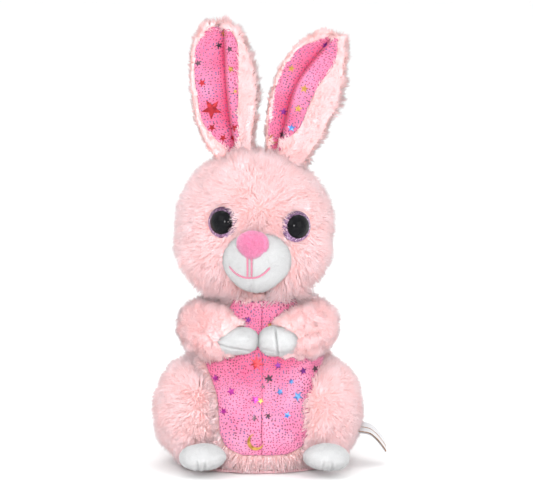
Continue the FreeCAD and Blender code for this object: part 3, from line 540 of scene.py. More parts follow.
def glitter_material(name, base, deep):
    """Pink velvet printed with foil dots, darkened to crimson where a point attribute paints shade into
    creases and hollows. The cloth map is in metres.
    """
    nodes = Nodes(name, Sheen_Weight=0.25)
    uv = nodes.flat_map("cloth")
    mask, foil = foil_dots(nodes, uv)
    weave = nodes.noise(2600.0, 2.0, uv)
    cloth = nodes.ramp(nodes.noise(70.0, 3.0, uv), [(0.3, deep), (0.62, base)])
    cloth = nodes.mix(0.35, cloth, nodes.ramp(weave, [(0.3, deep), (0.7, base)]))
    # painted shade: a point attribute darkens the cloth to crimson in creases and under the arms
    fold = nodes.add("Attribute", attribute_name="fold").outputs["Fac"]
    crease_shade_colour = (0.95 * deep[0], 0.12 * deep[1], 0.35 * deep[2])
    cloth = nodes.mix(fold, cloth, nodes.ramp(weave, [(0.3, crease_shade_colour), (0.7, deep)]))
    nodes.colour(nodes.mix(mask, cloth, foil))
    nodes.feed(nodes.fit(mask, 0.0, 1.0, 0.62, 0.4), nodes.shader.inputs["Roughness"])
    nodes.feed(nodes.math("MULTIPLY", mask, 0.05), nodes.shader.inputs["Metallic"])
    nodes.bump(weave, 0.25, 0.0002)
    return nodes.material


def foil_material(name, low, high):
    nodes = Nodes(name, Roughness=0.3, Metallic=0.55)
    nodes.colour(nodes.ramp(nodes.noise(420.0, 2.0), [(0.35, low), (0.65, high)]))
    return nodes.material


def iris_material():
    """Lilac glitter: bright and dark flakes, with a painted shadow darkening the top of the eye under the
    fur.
    """
    nodes = Nodes("lilac_glitter", Roughness=0.25, Coat_Weight=0.3, Coat_Roughness=0.04)
    pick = nodes.split(nodes.texture("Voronoi", nodes.object_place(), Scale=2300.0)["Color"])
    tint = nodes.ramp(pick["X"], [
        (0.0, (0.05, 0.015, 0.06)), (1.0, (0.95, 0.86, 0.97)), (0.35, (0.17, 0.075, 0.18)),
        (0.65, (0.34, 0.18, 0.34)), (0.88, (0.56, 0.37, 0.57))])
    # painted shadow: the iris darkens towards its top, as if shaded by the fur above the eye
    height = nodes.fit(nodes.split(nodes.object_place())["Z"], 0.138, 0.147, 0.0, 1.0)
    shade = nodes.ramp(height, [(0.0, WHITE), (1.0, (0.22, 0.12, 0.2))])
    nodes.colour(nodes.mix(1.0, tint, shade, "MULTIPLY"))
    nodes.feed(nodes.math("MULTIPLY", pick["Y"], 0.5), nodes.shader.inputs["Metallic"])
    return nodes.material


def pupil_material(word):
    """Black gloss, polished rounder than the moulded dome."""
    nodes = Nodes("black_gloss_" + word, Roughness=0.05, Specular_IOR_Level=0.12)
    gap = nodes.add("VectorMath", operation="DISTANCE")
    nodes.feed(nodes.object_place(), gap.inputs[0])
    gap.inputs[1].default_value = tuple(middle("eye_pupil_" + word))
    square = nodes.math("MULTIPLY", gap.outputs["Value"], gap.outputs["Value"])
    dome_radius = 12 * MM
    nodes.bump(nodes.math("MULTIPLY", square, -0.5 / dome_radius), 1.0, 1.0)
    tone = nodes.noise(300.0, 2.0)
    nodes.colour(nodes.ramp(tone, [(0.3, (0.003, 0.003, 0.004)), (0.7, (0.006, 0.006, 0.008))]))
    return nodes.material


MATERIALS = {
    "fur": fur_material(),
    "skin": plain_material(
        "plush_backing", (0.96, 0.62, 0.60), (0.98, 0.70, 0.69), 900.0, (0.5, 0.0006),
        Roughness=0.9, Sheen_Weight=0.3),
    "velour": velour_material("white_velour", 1.0),
    # painted shade: the muzzle's velour and pile below are darker copies of the white ones, toning down the
    # stronger light on the muzzle
    "muzzle": velour_material("muzzle_velour", 0.88),
    "muzzle_pile": pile_material("muzzle_pile", (0.52, 0.52, 0.525), (0.68, 0.69, 0.695)),
    "white_pile": pile_material("white_pile", (0.60, 0.60, 0.605), (0.78, 0.79, 0.795)),
    "nose_pile": pile_material("nose_pile", (0.76, 0.15, 0.34), (1.0, 0.46, 0.68)),
    "flock": flock_material(),
    "belly": glitter_material("belly_glitter", (0.78, 0.30, 0.47), (0.66, 0.13, 0.28)),
    "lining": glitter_material("ear_glitter", (0.74, 0.23, 0.40), (0.60, 0.08, 0.20)),
    "iris": iris_material(),
    "pupil_left": pupil_material("left"),
    "pupil_right": pupil_material("right"),
    "woven": woven_material(),
    "thread": banded_material(
        "pink_thread", "DIAGONAL", 620.0, [(0.2, (0.50, 0.12, 0.20)), (0.8, (0.68, 0.25, 0.36))],
        (0.5, 0.0002), Roughness=0.5, Sheen_Weight=0.4),
    "ribbon": banded_material(
        "satin_ribbon", "Y", 900.0, [(0.2, (0.52, 0.52, 0.54)), (0.8, (0.66, 0.66, 0.68))],
        (0.3, 0.0001), Roughness=0.4, Sheen_Weight=0.3),
    "ribbon_edge": plain_material(
        "ribbon_thread", (0.22, 0.09, 0.03), (0.34, 0.16, 0.06), 900.0, Roughness=0.6),
}
HARD_TONES = [              # slot, name, darker and lighter tone, grain, roughness, metal
    ("plastic_white", "moulded_white", (0.72, 0.72, 0.71), (0.78, 0.78, 0.77), 350.0, 0.45, 0.0),
    ("plastic_grey", "moulded_grey", (0.25, 0.25, 0.27), (0.31, 0.31, 0.33), 350.0, 0.5, 0.0),
    ("plastic_black", "moulded_black", (0.02, 0.02, 0.022), (0.035, 0.035, 0.04), 350.0, 0.4, 0.0),
    ("gear_white", "acetal", (0.70, 0.70, 0.66), (0.78, 0.78, 0.74), 500.0, 0.35, 0.0),
    ("steel", "drawn_steel", (0.48, 0.48, 0.50), (0.62, 0.62, 0.64), 900.0, 0.3, 1.0),
    ("nickel", "nickel_plate", (0.62, 0.60, 0.56), (0.75, 0.73, 0.68), 700.0, 0.2, 1.0),
    ("motor_steel", "pressed_steel", (0.50, 0.50, 0.51), (0.66, 0.66, 0.67), 400.0, 0.35, 1.0),
    ("board_green", "solder_mask", (0.03, 0.20, 0.09), (0.05, 0.30, 0.14), 600.0, 0.4, 0.0),
    ("cell_wrap", "cell_wrap", (0.07, 0.16, 0.40), (0.12, 0.24, 0.55), 500.0, 0.3, 0.0),
    ("lead_red", "lead_sleeve", (0.45, 0.03, 0.03), (0.6, 0.06, 0.05), 800.0, 0.45, 0.0),
    ("stuffing_white", "fibre_fill", (0.70, 0.70, 0.70), (0.85, 0.85, 0.85), 300.0, 0.95, 0.0)]
HARD = {
    slot: plain_material(name, low, high, grain, Roughness=rough, Metallic=metal)
    for slot, name, low, high, grain, rough, metal in HARD_TONES}
FOIL_TONES = {
    "purple": ((0.10, 0.01, 0.13), (0.26, 0.04, 0.30)),
    "magenta": ((0.26, 0.008, 0.16), (0.52, 0.05, 0.36)),
    "blue": ((0.03, 0.11, 0.36), (0.20, 0.42, 0.72)),
    "gold": ((0.26, 0.12, 0.02), (0.56, 0.33, 0.08)),
    "dark": ((0.02, 0.01, 0.02), (0.12, 0.06, 0.08)),
    "red": ((0.22, 0.004, 0.012), (0.45, 0.02, 0.03))}
FOILS = {colour: foil_material("foil_" + colour, *tones) for colour, tones in FOIL_TONES.items()}


# ---------------------------------------------------------------- curves, cloth and thread

def curve(knots, values, at):
    """A smooth curve through the values at the knots."""
    knots, values, at = np.array(knots, float), np.array(values, float), np.asarray(at, float)
    slope = np.gradient(values, knots)
    index = np.clip(np.searchsorted(knots, at) - 1, 0, len(knots) - 2)
    gap = knots[index + 1] - knots[index]
    t = np.clip((at - knots[index]) / gap, 0, 1)
    first = (2 * t ** 3 - 3 * t ** 2 + 1) * values[index] + (t ** 3 - 2 * t ** 2 + t) * gap * slope[index]
    last = (3 * t ** 2 - 2 * t ** 3) * values[index + 1] + (t ** 3 - t ** 2) * gap * slope[index + 1]
    return first + last


def face_normals(points, faces):
    """Smooth normals of an open surface."""
    normals = np.zeros_like(points)
    for face in faces:
        normal = np.cross(points[face[1]] - points[face[0]], points[face[2]] - points[face[0]])
        for corner in face:
            normals[corner] += normal
    return unit(normals)


def slab_data(points, faces, thick):
    """An open surface as a closed sheet of even thickness."""
    total = len(points)
    normals = face_normals(points, faces)
    verts = np.concatenate([points + normals * thick / 2, points - normals * thick / 2])
    edges = {(a, b) for face in faces for a, b in zip(face, face[1:] + face[:1])}
    shell = list(faces) + [tuple(corner + total for corner in reversed(face)) for face in faces]
    shell += [(b, a, a + total, b + total) for a, b in sorted(edges) if (b, a) not in edges]
    return verts, shell


def face_area(points, face):
    first = points[face[0]]
    return sum(
        np.linalg.norm(np.cross(points[b] - first, points[c] - first)) / 2
        for b, c in zip(face[1:], face[2:]))


def cloth(name, points, faces, flat_map, thick, fold=None):
    """A closed sheet with a map in metres and, when given, painted crease shade as a point attribute; also
    the area of its middle surface.
    """
    verts, shell = slab_data(points, faces, thick)
    item = new_mesh(name, verts, shell)
    layer = item.data.uv_layers.new(name="cloth")
    corners = read_rows(item.data.loops, "vertex_index", 1, np.int64).ravel()
    layer.data.foreach_set("uv", flat_map[corners % len(points)].reshape(-1))
    if fold is not None:
        shade = item.data.attributes.new("fold", "FLOAT", "POINT")
        shade.data.foreach_set("value", np.clip(np.concatenate([fold, fold]), 0, 1))
    return item, sum(face_area(points, face) for face in faces)


def grid_map(points, rows, columns):
    """Lengths across each row of an open grid and down its middle column."""
    grid = points.reshape(rows, columns, 3)
    across = np.array([travel_along(row) for row in grid])
    down = travel_along(grid[:, columns // 2])
    flat = np.stack([across, np.broadcast_to(down[:, None], across.shape)], axis=-1)
    return flat.reshape(-1, 2)


def thread(points, radius, beads, pitch=1.2 * MM, sides=8):
    """A closed thread along the points, swelling once per stitch and rounded at its ends."""
    points = np.array(points)
    along = unit(np.gradient(points, axis=0))
    never_along = np.array([0.31, 0.27, 0.91])
    first = unit(np.cross(along, never_along))
    second = np.cross(along, first)
    travel = travel_along(points)
    ends = np.minimum(travel, travel[-1] - travel) / radius
    swelling = 1 + beads * np.sin(2 * math.pi * travel / pitch)
    size = radius * swelling * np.clip(0.45 + 0.6 * ends, 0, 1)
    angles = np.arange(sides) * 2 * math.pi / sides
    verts = np.concatenate([circle(*ring, angles) for ring in zip(points, size, first, second)])
    faces = grid_faces(len(points), sides)
    faces.append(tuple(reversed(range(sides))))
    faces.append(tuple(range(len(verts) - sides, len(verts))))
    return verts, faces


def join_parts(name, parts):
    """One mesh from several (points, faces)."""
    verts, faces, start = [], [], 0
    for points, shape in parts:
        verts.append(points)
        faces += [tuple(corner + start for corner in face) for face in shape]
        start += len(points)
    return new_mesh(name, np.concatenate(verts), faces)


def press(points, centre, normal, offset, depth, width, front=None):
    """Push a crease into a form along a plane: offset from the centre, depth and width in mm."""
    normal = unit(np.array(normal, float))
    gap = (points - centre) @ normal - offset * MM
    push = depth * MM * np.exp(-(gap / (width * MM)) ** 2)
    if front is not None:
        push = push * front(points - centre)
    return points + unit(centre - points) * push[:, None]


def facing_front(local):
    return smooth_step(-local[:, 1], 0.0, 4 * MM)


def low_front(local):
    return facing_front(local) * smooth_step(-local[:, 2], -2 * MM, 2 * MM)


# ---------------------------------------------------------------- head

HEAD = mm(-4, 0, 132)
BROW = mm(1, -34, 157)
EYES = [middle("eye_iris_left"), middle("eye_iris_right")]
EYE_HOLE = 7.8 * MM
MUZZLE_HOLE = mm(16.8, 16.2)
NECK_TOP, NECK_RADIUS = 104 * MM, 20 * MM
CHIN_TOP = 114 * MM


def head_skin():
    cheeks = [(HEAD + mm(side * 20, -10, -12), mm(17, 20, 16), None) for side in (-1, 1)]

    def shape(points):
        for eye in EYES:
            gap = np.linalg.norm(points - eye, axis=1)
            socket = 2.6 * MM * np.exp(-(gap / (9.0 * MM)) ** 4)
            points = points + unit(HEAD - points) * socket[:, None]
        return points

    blobs = [(HEAD, mm(37.8, 37.0, 37.5), None)] + cheeks
    item = blob_form("head_skin", HEAD, blobs, blend=16.0, shape=shape)
    give(item, MATERIALS["skin"], "head", ["head_cover", "head_stuffing"])
    return item


def chin_share(points):
    """One under the chin, where the hairs are long and hang down, and nought elsewhere."""
    low = smooth_step(CHIN_TOP - points[:, 2], 0, 8 * MM)
    return low * smooth_step(-points[:, 1], 13 * MM, 19 * MM)


def head_comb(points, facing):
    """Away from the brow, down at the sides, and apart in two tufts under the chin."""
    away = points - BROW
    start = smooth_step(np.linalg.norm(away, axis=1), 3 * MM, 30 * MM)[:, None]
    usual = unit(away) * (0.15 + 0.65 * start) + np.array([0, 0.15, -0.30]) * start
    chin = chin_share(points)[:, None]
    side = np.sign(points[:, 0] - middle("muzzle")[0])
    hang = np.stack([0.3 * side, np.full(len(side), -0.45), np.full(len(side), -1.0)], axis=1)
    return usual * (1 - chin) + hang * chin


def head_fur(skin):
    muzzle = middle("muzzle")

    def eye_gap(points):
        """One at the rim of the nearer eye's hole, which is narrower towards the nose."""
        gaps = []
        for eye in EYES:
            across = (points[:, 0] - eye[0]) * np.sign(eye[0])
            reach = np.where(across > 0, EYE_HOLE, 0.72 * EYE_HOLE)
            gaps.append(np.hypot(across / reach, (points[:, 2] - eye[2]) / EYE_HOLE))
        return np.minimum(*gaps)

    def muzzle_gap(points):
        return np.linalg.norm((points - muzzle)[:, [0, 2]] / MUZZLE_HOLE, axis=1)

    def keep(points, facing):
        neck = (points[:, 2] < NECK_TOP) & (np.hypot(points[:, 0], points[:, 1]) < NECK_RADIUS)
        hole = (eye_gap(points) < 1) | (muzzle_gap(points) < 1)
        return ~(neck | (points[:, 1] < 0) & hole)

    def size(points):
        by_eye = 0.55 + 0.45 * smooth_step(eye_gap(points), 1.0, 1.6)
        by_muzzle = 0.5 + 0.5 * smooth_step(muzzle_gap(points), 1.0, 1.5)
        chin = chin_share(points)
        share = np.maximum(np.minimum(by_eye, by_muzzle), chin)
        return np.where(points[:, 1] < 0, share, 1.0) * (1 + 0.85 * chin)

    fur("head_fur", skin, 52000, head_comb, "head", 11, length=8.0, lift=0.95, width=0.24, keep=keep,
        size=size, parts=3)


def pile(name, item, count, body, seed, material, front=1.0):
    """A short white pile that softens the outline of a velour piece, where y is below front."""
    centre = np.mean([v.co[:] for v in item.data.vertices], axis=0)

    def keep(points, facing):
        return points[:, 1] < front

    def comb(points, facing):
        return unit(points - centre) + np.array([0, 0, -0.6])

    fur(name, item, count, comb, body, seed, length=0.9, lift=1.0, width=0.13, share=0.05, clump=0.2,
        keep=keep, material=material)


def muzzle_form():
    wide, _deep, tall = half_size("muzzle")
    centre = middle("muzzle")
    centre[1] = -35 * MM
    blobs = [
        (centre + mm(0, -0.6, 0.8), np.array([wide * 0.98, 13 * MM, tall * 0.90]), None),
        (centre + mm(-0.5, -0.6, -7), np.array([wide * 0.64, 10.5 * MM, tall * 0.55]), None)]

    def shape(points):
        points = press(points, centre, (1, 0, 0.03), -3.6, 0.7, 1.6, facing_front)
        return points + unit(points - centre) * (waves(points, 0.011, 5) * 0.10 * MM)[:, None]

    item = blob_form("muzzle_velour", centre, blobs, blend=14.0, shape=shape)
    give(item, MATERIALS["muzzle"], "head", ["muzzle"])
    pile("muzzle_pile", item, 9000, "head", 31, MATERIALS["muzzle_pile"], front=-33 * MM)
    return item


def nose_form():
    low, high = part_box("nose")
    centre = np.array([(low[0] + high[0]) / 2, -45.6 * MM, (low[2] + high[2]) / 2])
    blobs = [
        (centre + mm(-2.9, 0, 1.2), mm(5.2, 4.6, 5.4), None),
        (centre + mm(2.9, 0, 1.2), mm(5.2, 4.6, 5.4), None),
        (centre + mm(0, 0, 2.2), mm(5.6, 4.4, 5.2), None),
        (centre + mm(0, 0, -2.4), mm(5.4, 4.3, 4.8), None)]

    def shape(points):
        return points + unit(points - centre) * (waves(points, 0.004, 8) * 0.12 * MM)[:, None]

    def comb(points, facing):
        return unit(points - centre)

    item = blob_form("nose_flock", centre, blobs, blend=9.0, level=5, shape=shape)
    give(item, MATERIALS["flock"], "head", ["nose"])
    fur("nose_pile", item, 5200, comb, "head", 37, length=1.3, lift=1.0, width=0.14, share=0.06, clump=0.35,
        material=MATERIALS["nose_pile"])


def on_surface(item, across, up, out):
    """The point of a form that shows at (across, up) from the front, lifted off it by out."""
    hit, place, _normal, _index = item.ray_cast(Vector((across, -0.2, up)), Vector((0, 1, 0)))
    if not hit:
        raise RuntimeError("no surface there")
    return np.array(place) + np.array([0, -out, 0])


def mouth_threads(muzzle):
    """A double embroidered stem under the nose and a thin smile below it."""
    low, _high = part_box("mouth")
    stem_x, stem_top, stem_gap = -6.2 * MM, 121.5 * MM, 1.15 * MM
    smile_low, rise, reach = low[2] + 0.4 * MM, 6.0 * MM, 11.2 * MM
    lines = []
    for offset in (-stem_gap, stem_gap):
        heights = np.linspace(stem_top, smile_low + 0.6 * MM, 26)
        lines.append([on_surface(muzzle, stem_x + offset, z, 0.25 * MM) for z in heights])
    lines.append([
        on_surface(muzzle, stem_x + way * reach, smile_low + rise * abs(way) ** 2.4, 0.2 * MM)
        for way in np.linspace(-1, 1, 44)])
    item = join_parts("mouth_threads", [thread(line, 0.62 * MM, 0.12, 1.6 * MM) for line in lines])
    give(item, MATERIALS["thread"], "head", ["mouth"])


# ---------------------------------------------------------------- ears

# Outlines of the ears, as rows of (up, left edge, right edge), and the line of each crease, in millimetres.
EAR_LINING = {
    "right": [
        (3, -2, 1.5), (12, -8, 3), (24, -15, 4.2), (40, -16, 7), (56, -14.8, 10.3), (68, -11.5, 10.5),
        (77, -4, 6.5)],
    "left": [
        (3, -5, -2), (12, -11, -1.5), (23, -15, 3), (36, -17.5, 3), (51, -18, 4), (64, -14, 7.3),
        (76, -2.5, 3.5)],
}
EAR_BACK = {
    "right": [
        (0, -9, 7), (12, -14.5, 9), (24, -18, 13), (40, -18.2, 16), (56, -16.4, 15.8), (68, -13, 13),
        (78, -5, 8)],
    "left": [
        (0, -7, 10), (12, -12, 13.5), (23, -16, 15), (36, -18.8, 16), (51, -19.2, 14.8), (64, -15.8, 12),
        (77, -5.5, 6)],
}
EAR_CREASE = {
    "right": [(3, 0), (20, -0.8), (42, 0.5), (76, 5)],
    "left": [(3, -3), (20, -5), (43, -8), (76, 0)],
}
EAR_FOLD = 3.8 * MM
JOINTS = {joint["name"]: joint for joint in frame["record"]["behaviour"]["joints"]}


def values_at(rows, up):
    """The smooth values of a table's columns, in metres, at the heights."""
    table = np.array(rows, float)
    return tuple(curve(table[:, 0], table[:, column], up / MM) * MM for column in range(1, table.shape[1]))


def ear_axes(word):
    """The root of an ear, and the directions across and up it."""
    joint = JOINTS["ear_%s_bend" % word]
    across = np.array(joint["axis"])
    return np.array(joint["pos_m"]), across, np.cross((0, -1, 0), across)


def ear_place(word, across, front, up):
    """Points given across, to the front and up along an ear, in the shared frame."""
    root, way_across, way_up = ear_axes(word)
    return root + np.outer(across, way_across) + np.outer(up, way_up) + np.outer(front, (0, -1, 0))


def ear_local(word, points):
    root, way_across, way_up = ear_axes(word)
    local = points - root
    return local @ way_across, local @ way_up


def fold_depth(gap, slow, sharp):
    """A one-sided crease: it sinks slowly from the left and rises at once on the right. It shapes the ear's
    front and also sets the painted crease shade of the lining.
    """
    return np.where(gap < 0, np.exp(np.minimum(gap, 0) / slow), np.exp(-(gap / sharp) ** 2))


def ear_front(word, across, up):
    """How far the ear's front stands forward: dished, with a crease up the middle."""
    left, right = values_at(EAR_BACK[word], up)
    (crease,) = values_at(EAR_CREASE[word], up)
    t = np.clip(2 * (across - left) / np.maximum(right - left, 1e-6) - 1, -1, 1)
    dish = 3.4 * MM * t ** 2 + 2.6 * MM * (1 - t ** 2)
    return dish - EAR_FOLD * fold_depth(across - crease, 3.6 * MM, 1.0 * MM)


def ear_skin(word):
    """The stuffed back of an ear. Its front stays under the lining, also where that is creased."""
    rings, columns = [], 26
    ts = (1 - np.cos(np.linspace(0, math.pi, columns))) / 2
    edge = (2 * ts - 1) ** 2
    back = 3.4 * MM * edge - 4.6 * MM * (1 - edge)
    for up in np.linspace(0.5, 77.0, 46) * MM:
        left, right = values_at(EAR_BACK[word], up)
        across = left + (right - left) * ts
        level = np.full(columns, up)
        near = [ear_front(word, across + shift * MM, level) for shift in (-1.6, -0.8, 0.0, 0.8, 1.6)]
        front = np.maximum(np.minimum.reduce(near) - 0.4 * MM, back)
        front_side = ear_place(word, across, front, level)
        back_side = ear_place(word, across[::-1][1:-1], back[::-1][1:-1], level[1:-1])
        rings.append(np.concatenate([front_side, back_side]))
    item = tube_form("ear_skin_" + word, rings)
    give(item, MATERIALS["skin"], "ear_" + word, ["ear_back_" + word])
    return item


def ear_fur(word, skin):
    def keep(points, facing):
        across, up = ear_local(word, points)
        left, right = values_at(EAR_LINING[word], up)
        inside = (across > left + 0.6 * MM) & (across < right - 0.2 * MM) & (up < 76 * MM)
        return ~(inside & (facing[:, 1] < 0.1))

    def comb(points, facing):
        across, up = ear_local(word, points)
        left, right = values_at(EAR_LINING[word], up)
        _root, way_across, way_up = ear_axes(word)
        side = np.clip((across - (left + right) / 2) / (8 * MM), -1, 1)
        return np.outer(side * 0.45, way_across) + way_up * 0.75

    def size(points):
        across, up = ear_local(word, points)
        left, right = values_at(EAR_BACK[word], up)
        side = 0.48 + 0.52 * smooth_step((across - left) / np.maximum(right - left, MM), 0.0, 0.85)
        return np.maximum(side * (1 - 0.2 * smooth_step(up, 50 * MM, 70 * MM)), 0.66 * (up > 70 * MM))

    seed = 41 if word == "left" else 47
    fur("ear_fur_" + word, skin, 27000, comb, "ear_" + word, seed, length=6.8, lift=0.8, width=0.24,
        keep=keep, size=size, parts=2)


def ear_lining(word):
    rows, columns = 60, 61
    points, fold_shades = [], []
    for up in np.linspace(3.0, 76.5, rows) * MM:
        left, right = values_at(EAR_LINING[word], up)
        (crease,) = values_at(EAR_CREASE[word], up)
        across = np.linspace(left, right, columns)
        level = np.full(columns, up)
        ripple = flat_waves(across, level, 0.02, 60) * 0.18 * MM
        points.append(ear_place(word, across, ear_front(word, across, level) + 0.55 * MM + ripple, level))
        # painted shade: crimson darkening along the crease, wide on its left and sharp on its right, fading
        # near the tip, with broad uneven patches
        deep = fold_depth(across - crease, 5.5 * MM, 1.3 * MM) * smooth_step(78 * MM - up, 0, 16 * MM)
        fold_shades.append(deep + 0.25 * flat_waves(across, level, 0.03, 61))
    points = np.concatenate(points)
    item, area = cloth(
        "ear_lining_cloth_" + word, points, grid_faces(rows, columns, False),
        grid_map(points, rows, columns), 0.6 * MM, np.concatenate(fold_shades))
    give(item, MATERIALS["lining"], "ear_" + word, ["ear_lining_" + word])


# ---------------------------------------------------------------- foil marks

def star_outline(points, size, turn):
    """A star as (across, up) points."""
    angles = turn + np.arange(points * 2) * math.pi / points
    reach = np.where(np.arange(points * 2) % 2 == 0, size * 1.15, size * 0.48)
    return np.stack([np.cos(angles) * reach, np.sin(angles) * reach], axis=1)


MOON_ARCS = (14, 12)        # points on its outer and inner arc
FOIL_THICK = 0.14 * MM


def moon_outline(size):
    """A crescent as (across, up) points."""
    outer = np.radians(np.linspace(95.8, 354.2, MOON_ARCS[0]))
    inner = np.radians(np.linspace(336, 114, MOON_ARCS[1]))
    far = np.stack([np.cos(outer), np.sin(outer)], axis=1) * size
    near = (np.stack([np.cos(inner), np.sin(inner)], axis=1) * 0.85 + 0.2) * size
    return np.concatenate([far, near])


def star_faces(outline):
    """Points and faces of a star: a ring of quads about a fan."""
    centre, count = outline.mean(axis=0), len(outline)
    faces = []
    for a in range(count):
        b = (a + 1) % count
        faces.append((a, b, b + count, a + count))
        faces.append((a + count, b + count, 2 * count))
    return np.concatenate([outline, (outline + centre) / 2, [centre]]) * MM, faces


def moon_faces(outline):
    """Points and faces of a crescent: a strip between its two arcs."""
    count, last = MOON_ARCS[0], sum(MOON_ARCS) - 1
    faces = []
    for a in range(count - 1):
        here = last - round(a * (MOON_ARCS[1] - 1) / (count - 1))
        there = last - round((a + 1) * (MOON_ARCS[1] - 1) / (count - 1))
        faces.append((a, a + 1, there, here) if here != there else (a, a + 1, here))
    return outline * MM, faces


def foil_marks(name, marks, surface, body):
    """Thin foil stars and moons pressed on a cloth. A mark is (across, up, size, colour, kind), in
    millimetres, and its kind is a moon or the star's count of points."""
    parts, colours = [], []
    for index, (across, up, size, colour, kind) in enumerate(marks):
        place = np.array([across, up])
        if kind == "moon":
            flat, faces = moon_faces(moon_outline(size) + place)
        else:
            flat, faces = star_faces(star_outline(kind, size, 0.4 + index * 1.3) + place)
        verts, shell = slab_data(surface(flat[:, 0], flat[:, 1]), faces, FOIL_THICK)
        parts.append((verts, shell))
        colours += [list(FOILS).index(colour)] * len(shell)
    item = join_parts(name, parts)
    for foil in FOILS.values():
        item.data.materials.append(foil)
    item.data.polygons.foreach_set("material_index", colours)
    item.data.polygons.foreach_set("use_smooth", [False] * len(colours))
    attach(item, body)


EAR_MARKS = {
    "right": [
        (4.8, 72, 1.9, "gold", 5), (0.7, 66, 1.8, "dark", 5), (6.2, 63, 1.9, "dark", 5),
        (-12.2, 58.5, 1.9, "dark", 5), (4.8, 52, 1.9, "gold", 5), (-12, 47.3, 2.1, "red", 5),
        (5.2, 39.5, 1.2, "gold", 4), (-9.3, 32, 5.2, "red", 5),
        (1.2, 19.5, 2.1, "red", 5), (-11, 21.8, 2.1, "red", 5), (-6, 15, 2.0, "red", 5),
        (-0.6, 13.8, 1.6, "red", 5)],
    "left": [
        (-1.5, 70.5, 1.9, "purple", 5), (-14, 51.6, 1.9, "gold", 5), (-3, 44, 2.2, "gold", 5),
        (-1.8, 32.5, 2.0, "gold", 5), (-8.4, 27.6, 2.0, "purple", 5), (-1, 21.2, 2.1, "blue", 5),
        (-4, 15.6, 1.7, "dark", 5), (-7.6, 11.6, 2.6, "gold", "moon")],
}
BELLY_MARKS = [
    (-25, 64.5, 2.0, "purple", 5), (9.4, 59.6, 2.0, "purple", 5), (23.3, 55.7, 2.0, "purple", 5),
    (-2.4, 61, 3.4, "red", 7), (4.4, 52.9, 2.3, "dark", 5), (30, 55.8, 1.8, "dark", 5),
    (-25, 52, 1.9, "magenta", 5), (-16.4, 45.6, 2.2, "magenta", 5), (1.1, 48.6, 1.0, "dark", 6),
    (16.7, 50.6, 1.6, "blue", 6), (10.5, 45.6, 1.9, "blue", 5), (20.3, 42.5, 2.6, "blue", 5),
    (-3.2, 41.6, 2.2, "magenta", 5), (-0.2, 41, 1.6, "gold", 5), (-20.5, 34.7, 1.9, "magenta", 5),
    (-3.6, 31.6, 1.7, "dark", 5), (4, 32.7, 1.7, "dark", 5), (14.4, 32.7, 2.0, "blue", 5),
    (7.8, 21.5, 1.9, "gold", 5), (-3, 18.5, 4.6, "gold", "moon"), (-7, 84, 1.7, "purple", 5),
    (5, 81, 1.6, "gold", 5)]


def ear_marks(word):
    def surface(across, up):
        return ear_place(word, across, ear_front(word, across, up) + 1.05 * MM, up)

    foil_marks("ear_foil_" + word, EAR_MARKS[word], surface, "ear_" + word)


# ---------------------------------------------------------------- torso, belly, haunches, tail

# Rows of (up, radius), (up, half width) and, for wrinkles, (x, z, x, z, height, width), in millimetres.
TORSO_ROWS = [(1.5, 37.5), (6, 41), (26, 42.5), (48, 38.5), (68, 33), (84, 28), (97, 23)]
PANEL_ROWS = [(11, 12), (14, 19), (20, 23.5), (30, 25), (42, 26), (52, 29.5), (61, 33), (75, 27), (94, 17)]
SEAM_X = 0.6 * MM
PANEL_X = 2.0 * MM
PANEL_OUT = 2.6 * MM


def torso_radius(up):
    (radius,) = values_at(TORSO_ROWS, up)
    return radius


def torso_skin():
    rings = []
    angles = np.linspace(0, 2 * math.pi, 72, endpoint=False)
    for up in np.linspace(1.6, 97, 50) * MM:
        radius = torso_radius(np.full(len(angles), up))
        rings.append(np.stack(
            [AXIS_X + radius * np.cos(angles), radius * np.sin(angles), np.full(len(angles), up)], axis=1))
    item = tube_form("torso_skin", rings)
    give(item, MATERIALS["skin"], "base", ["torso_cover", "torso_stuffing"])
    return item


def belly_surface(across, up, out):
    """Points on the front of the torso, lifted off it by out."""
    radius = torso_radius(up) + out
    offset = np.clip(across - AXIS_X, -radius * 0.98, radius * 0.98)
    return np.stack([across, -np.sqrt(radius ** 2 - offset ** 2), up], axis=1)


BELLY_WRINKLES = [
    (-28, 64, 0, 52, 1.5, 2.6), (31, 63, 5, 50, 1.3, 2.6), (-9, 66, -3, 42, 1.0, 2.4),
    (-22, 22, -5, 31, 1.0, 3.2), (24, 24, 8, 33, 0.9, 3.0), (-24, 44, -8, 47, 0.7, 2.5),
    (26, 40, 12, 46, 0.7, 2.5)]


def belly_wrinkles(across, up):
    """Soft ridges in the cloth, each along a line given with its height and width in millimetres."""
    total = np.zeros(len(across))
    for x0, z0, x1, z1, height, width in BELLY_WRINKLES:
        way = np.array([x1 - x0, z1 - z0]) * MM
        t = ((across - x0 * MM) * way[0] + (up - z0 * MM) * way[1]) / (way @ way)
        gap = ((across - x0 * MM) * way[1] - (up - z0 * MM) * way[0]) / np.linalg.norm(way)
        total += height * MM * np.exp(-(gap / (width * MM)) ** 2) * np.exp(-((t - 0.5) / 0.42) ** 2)
    return total


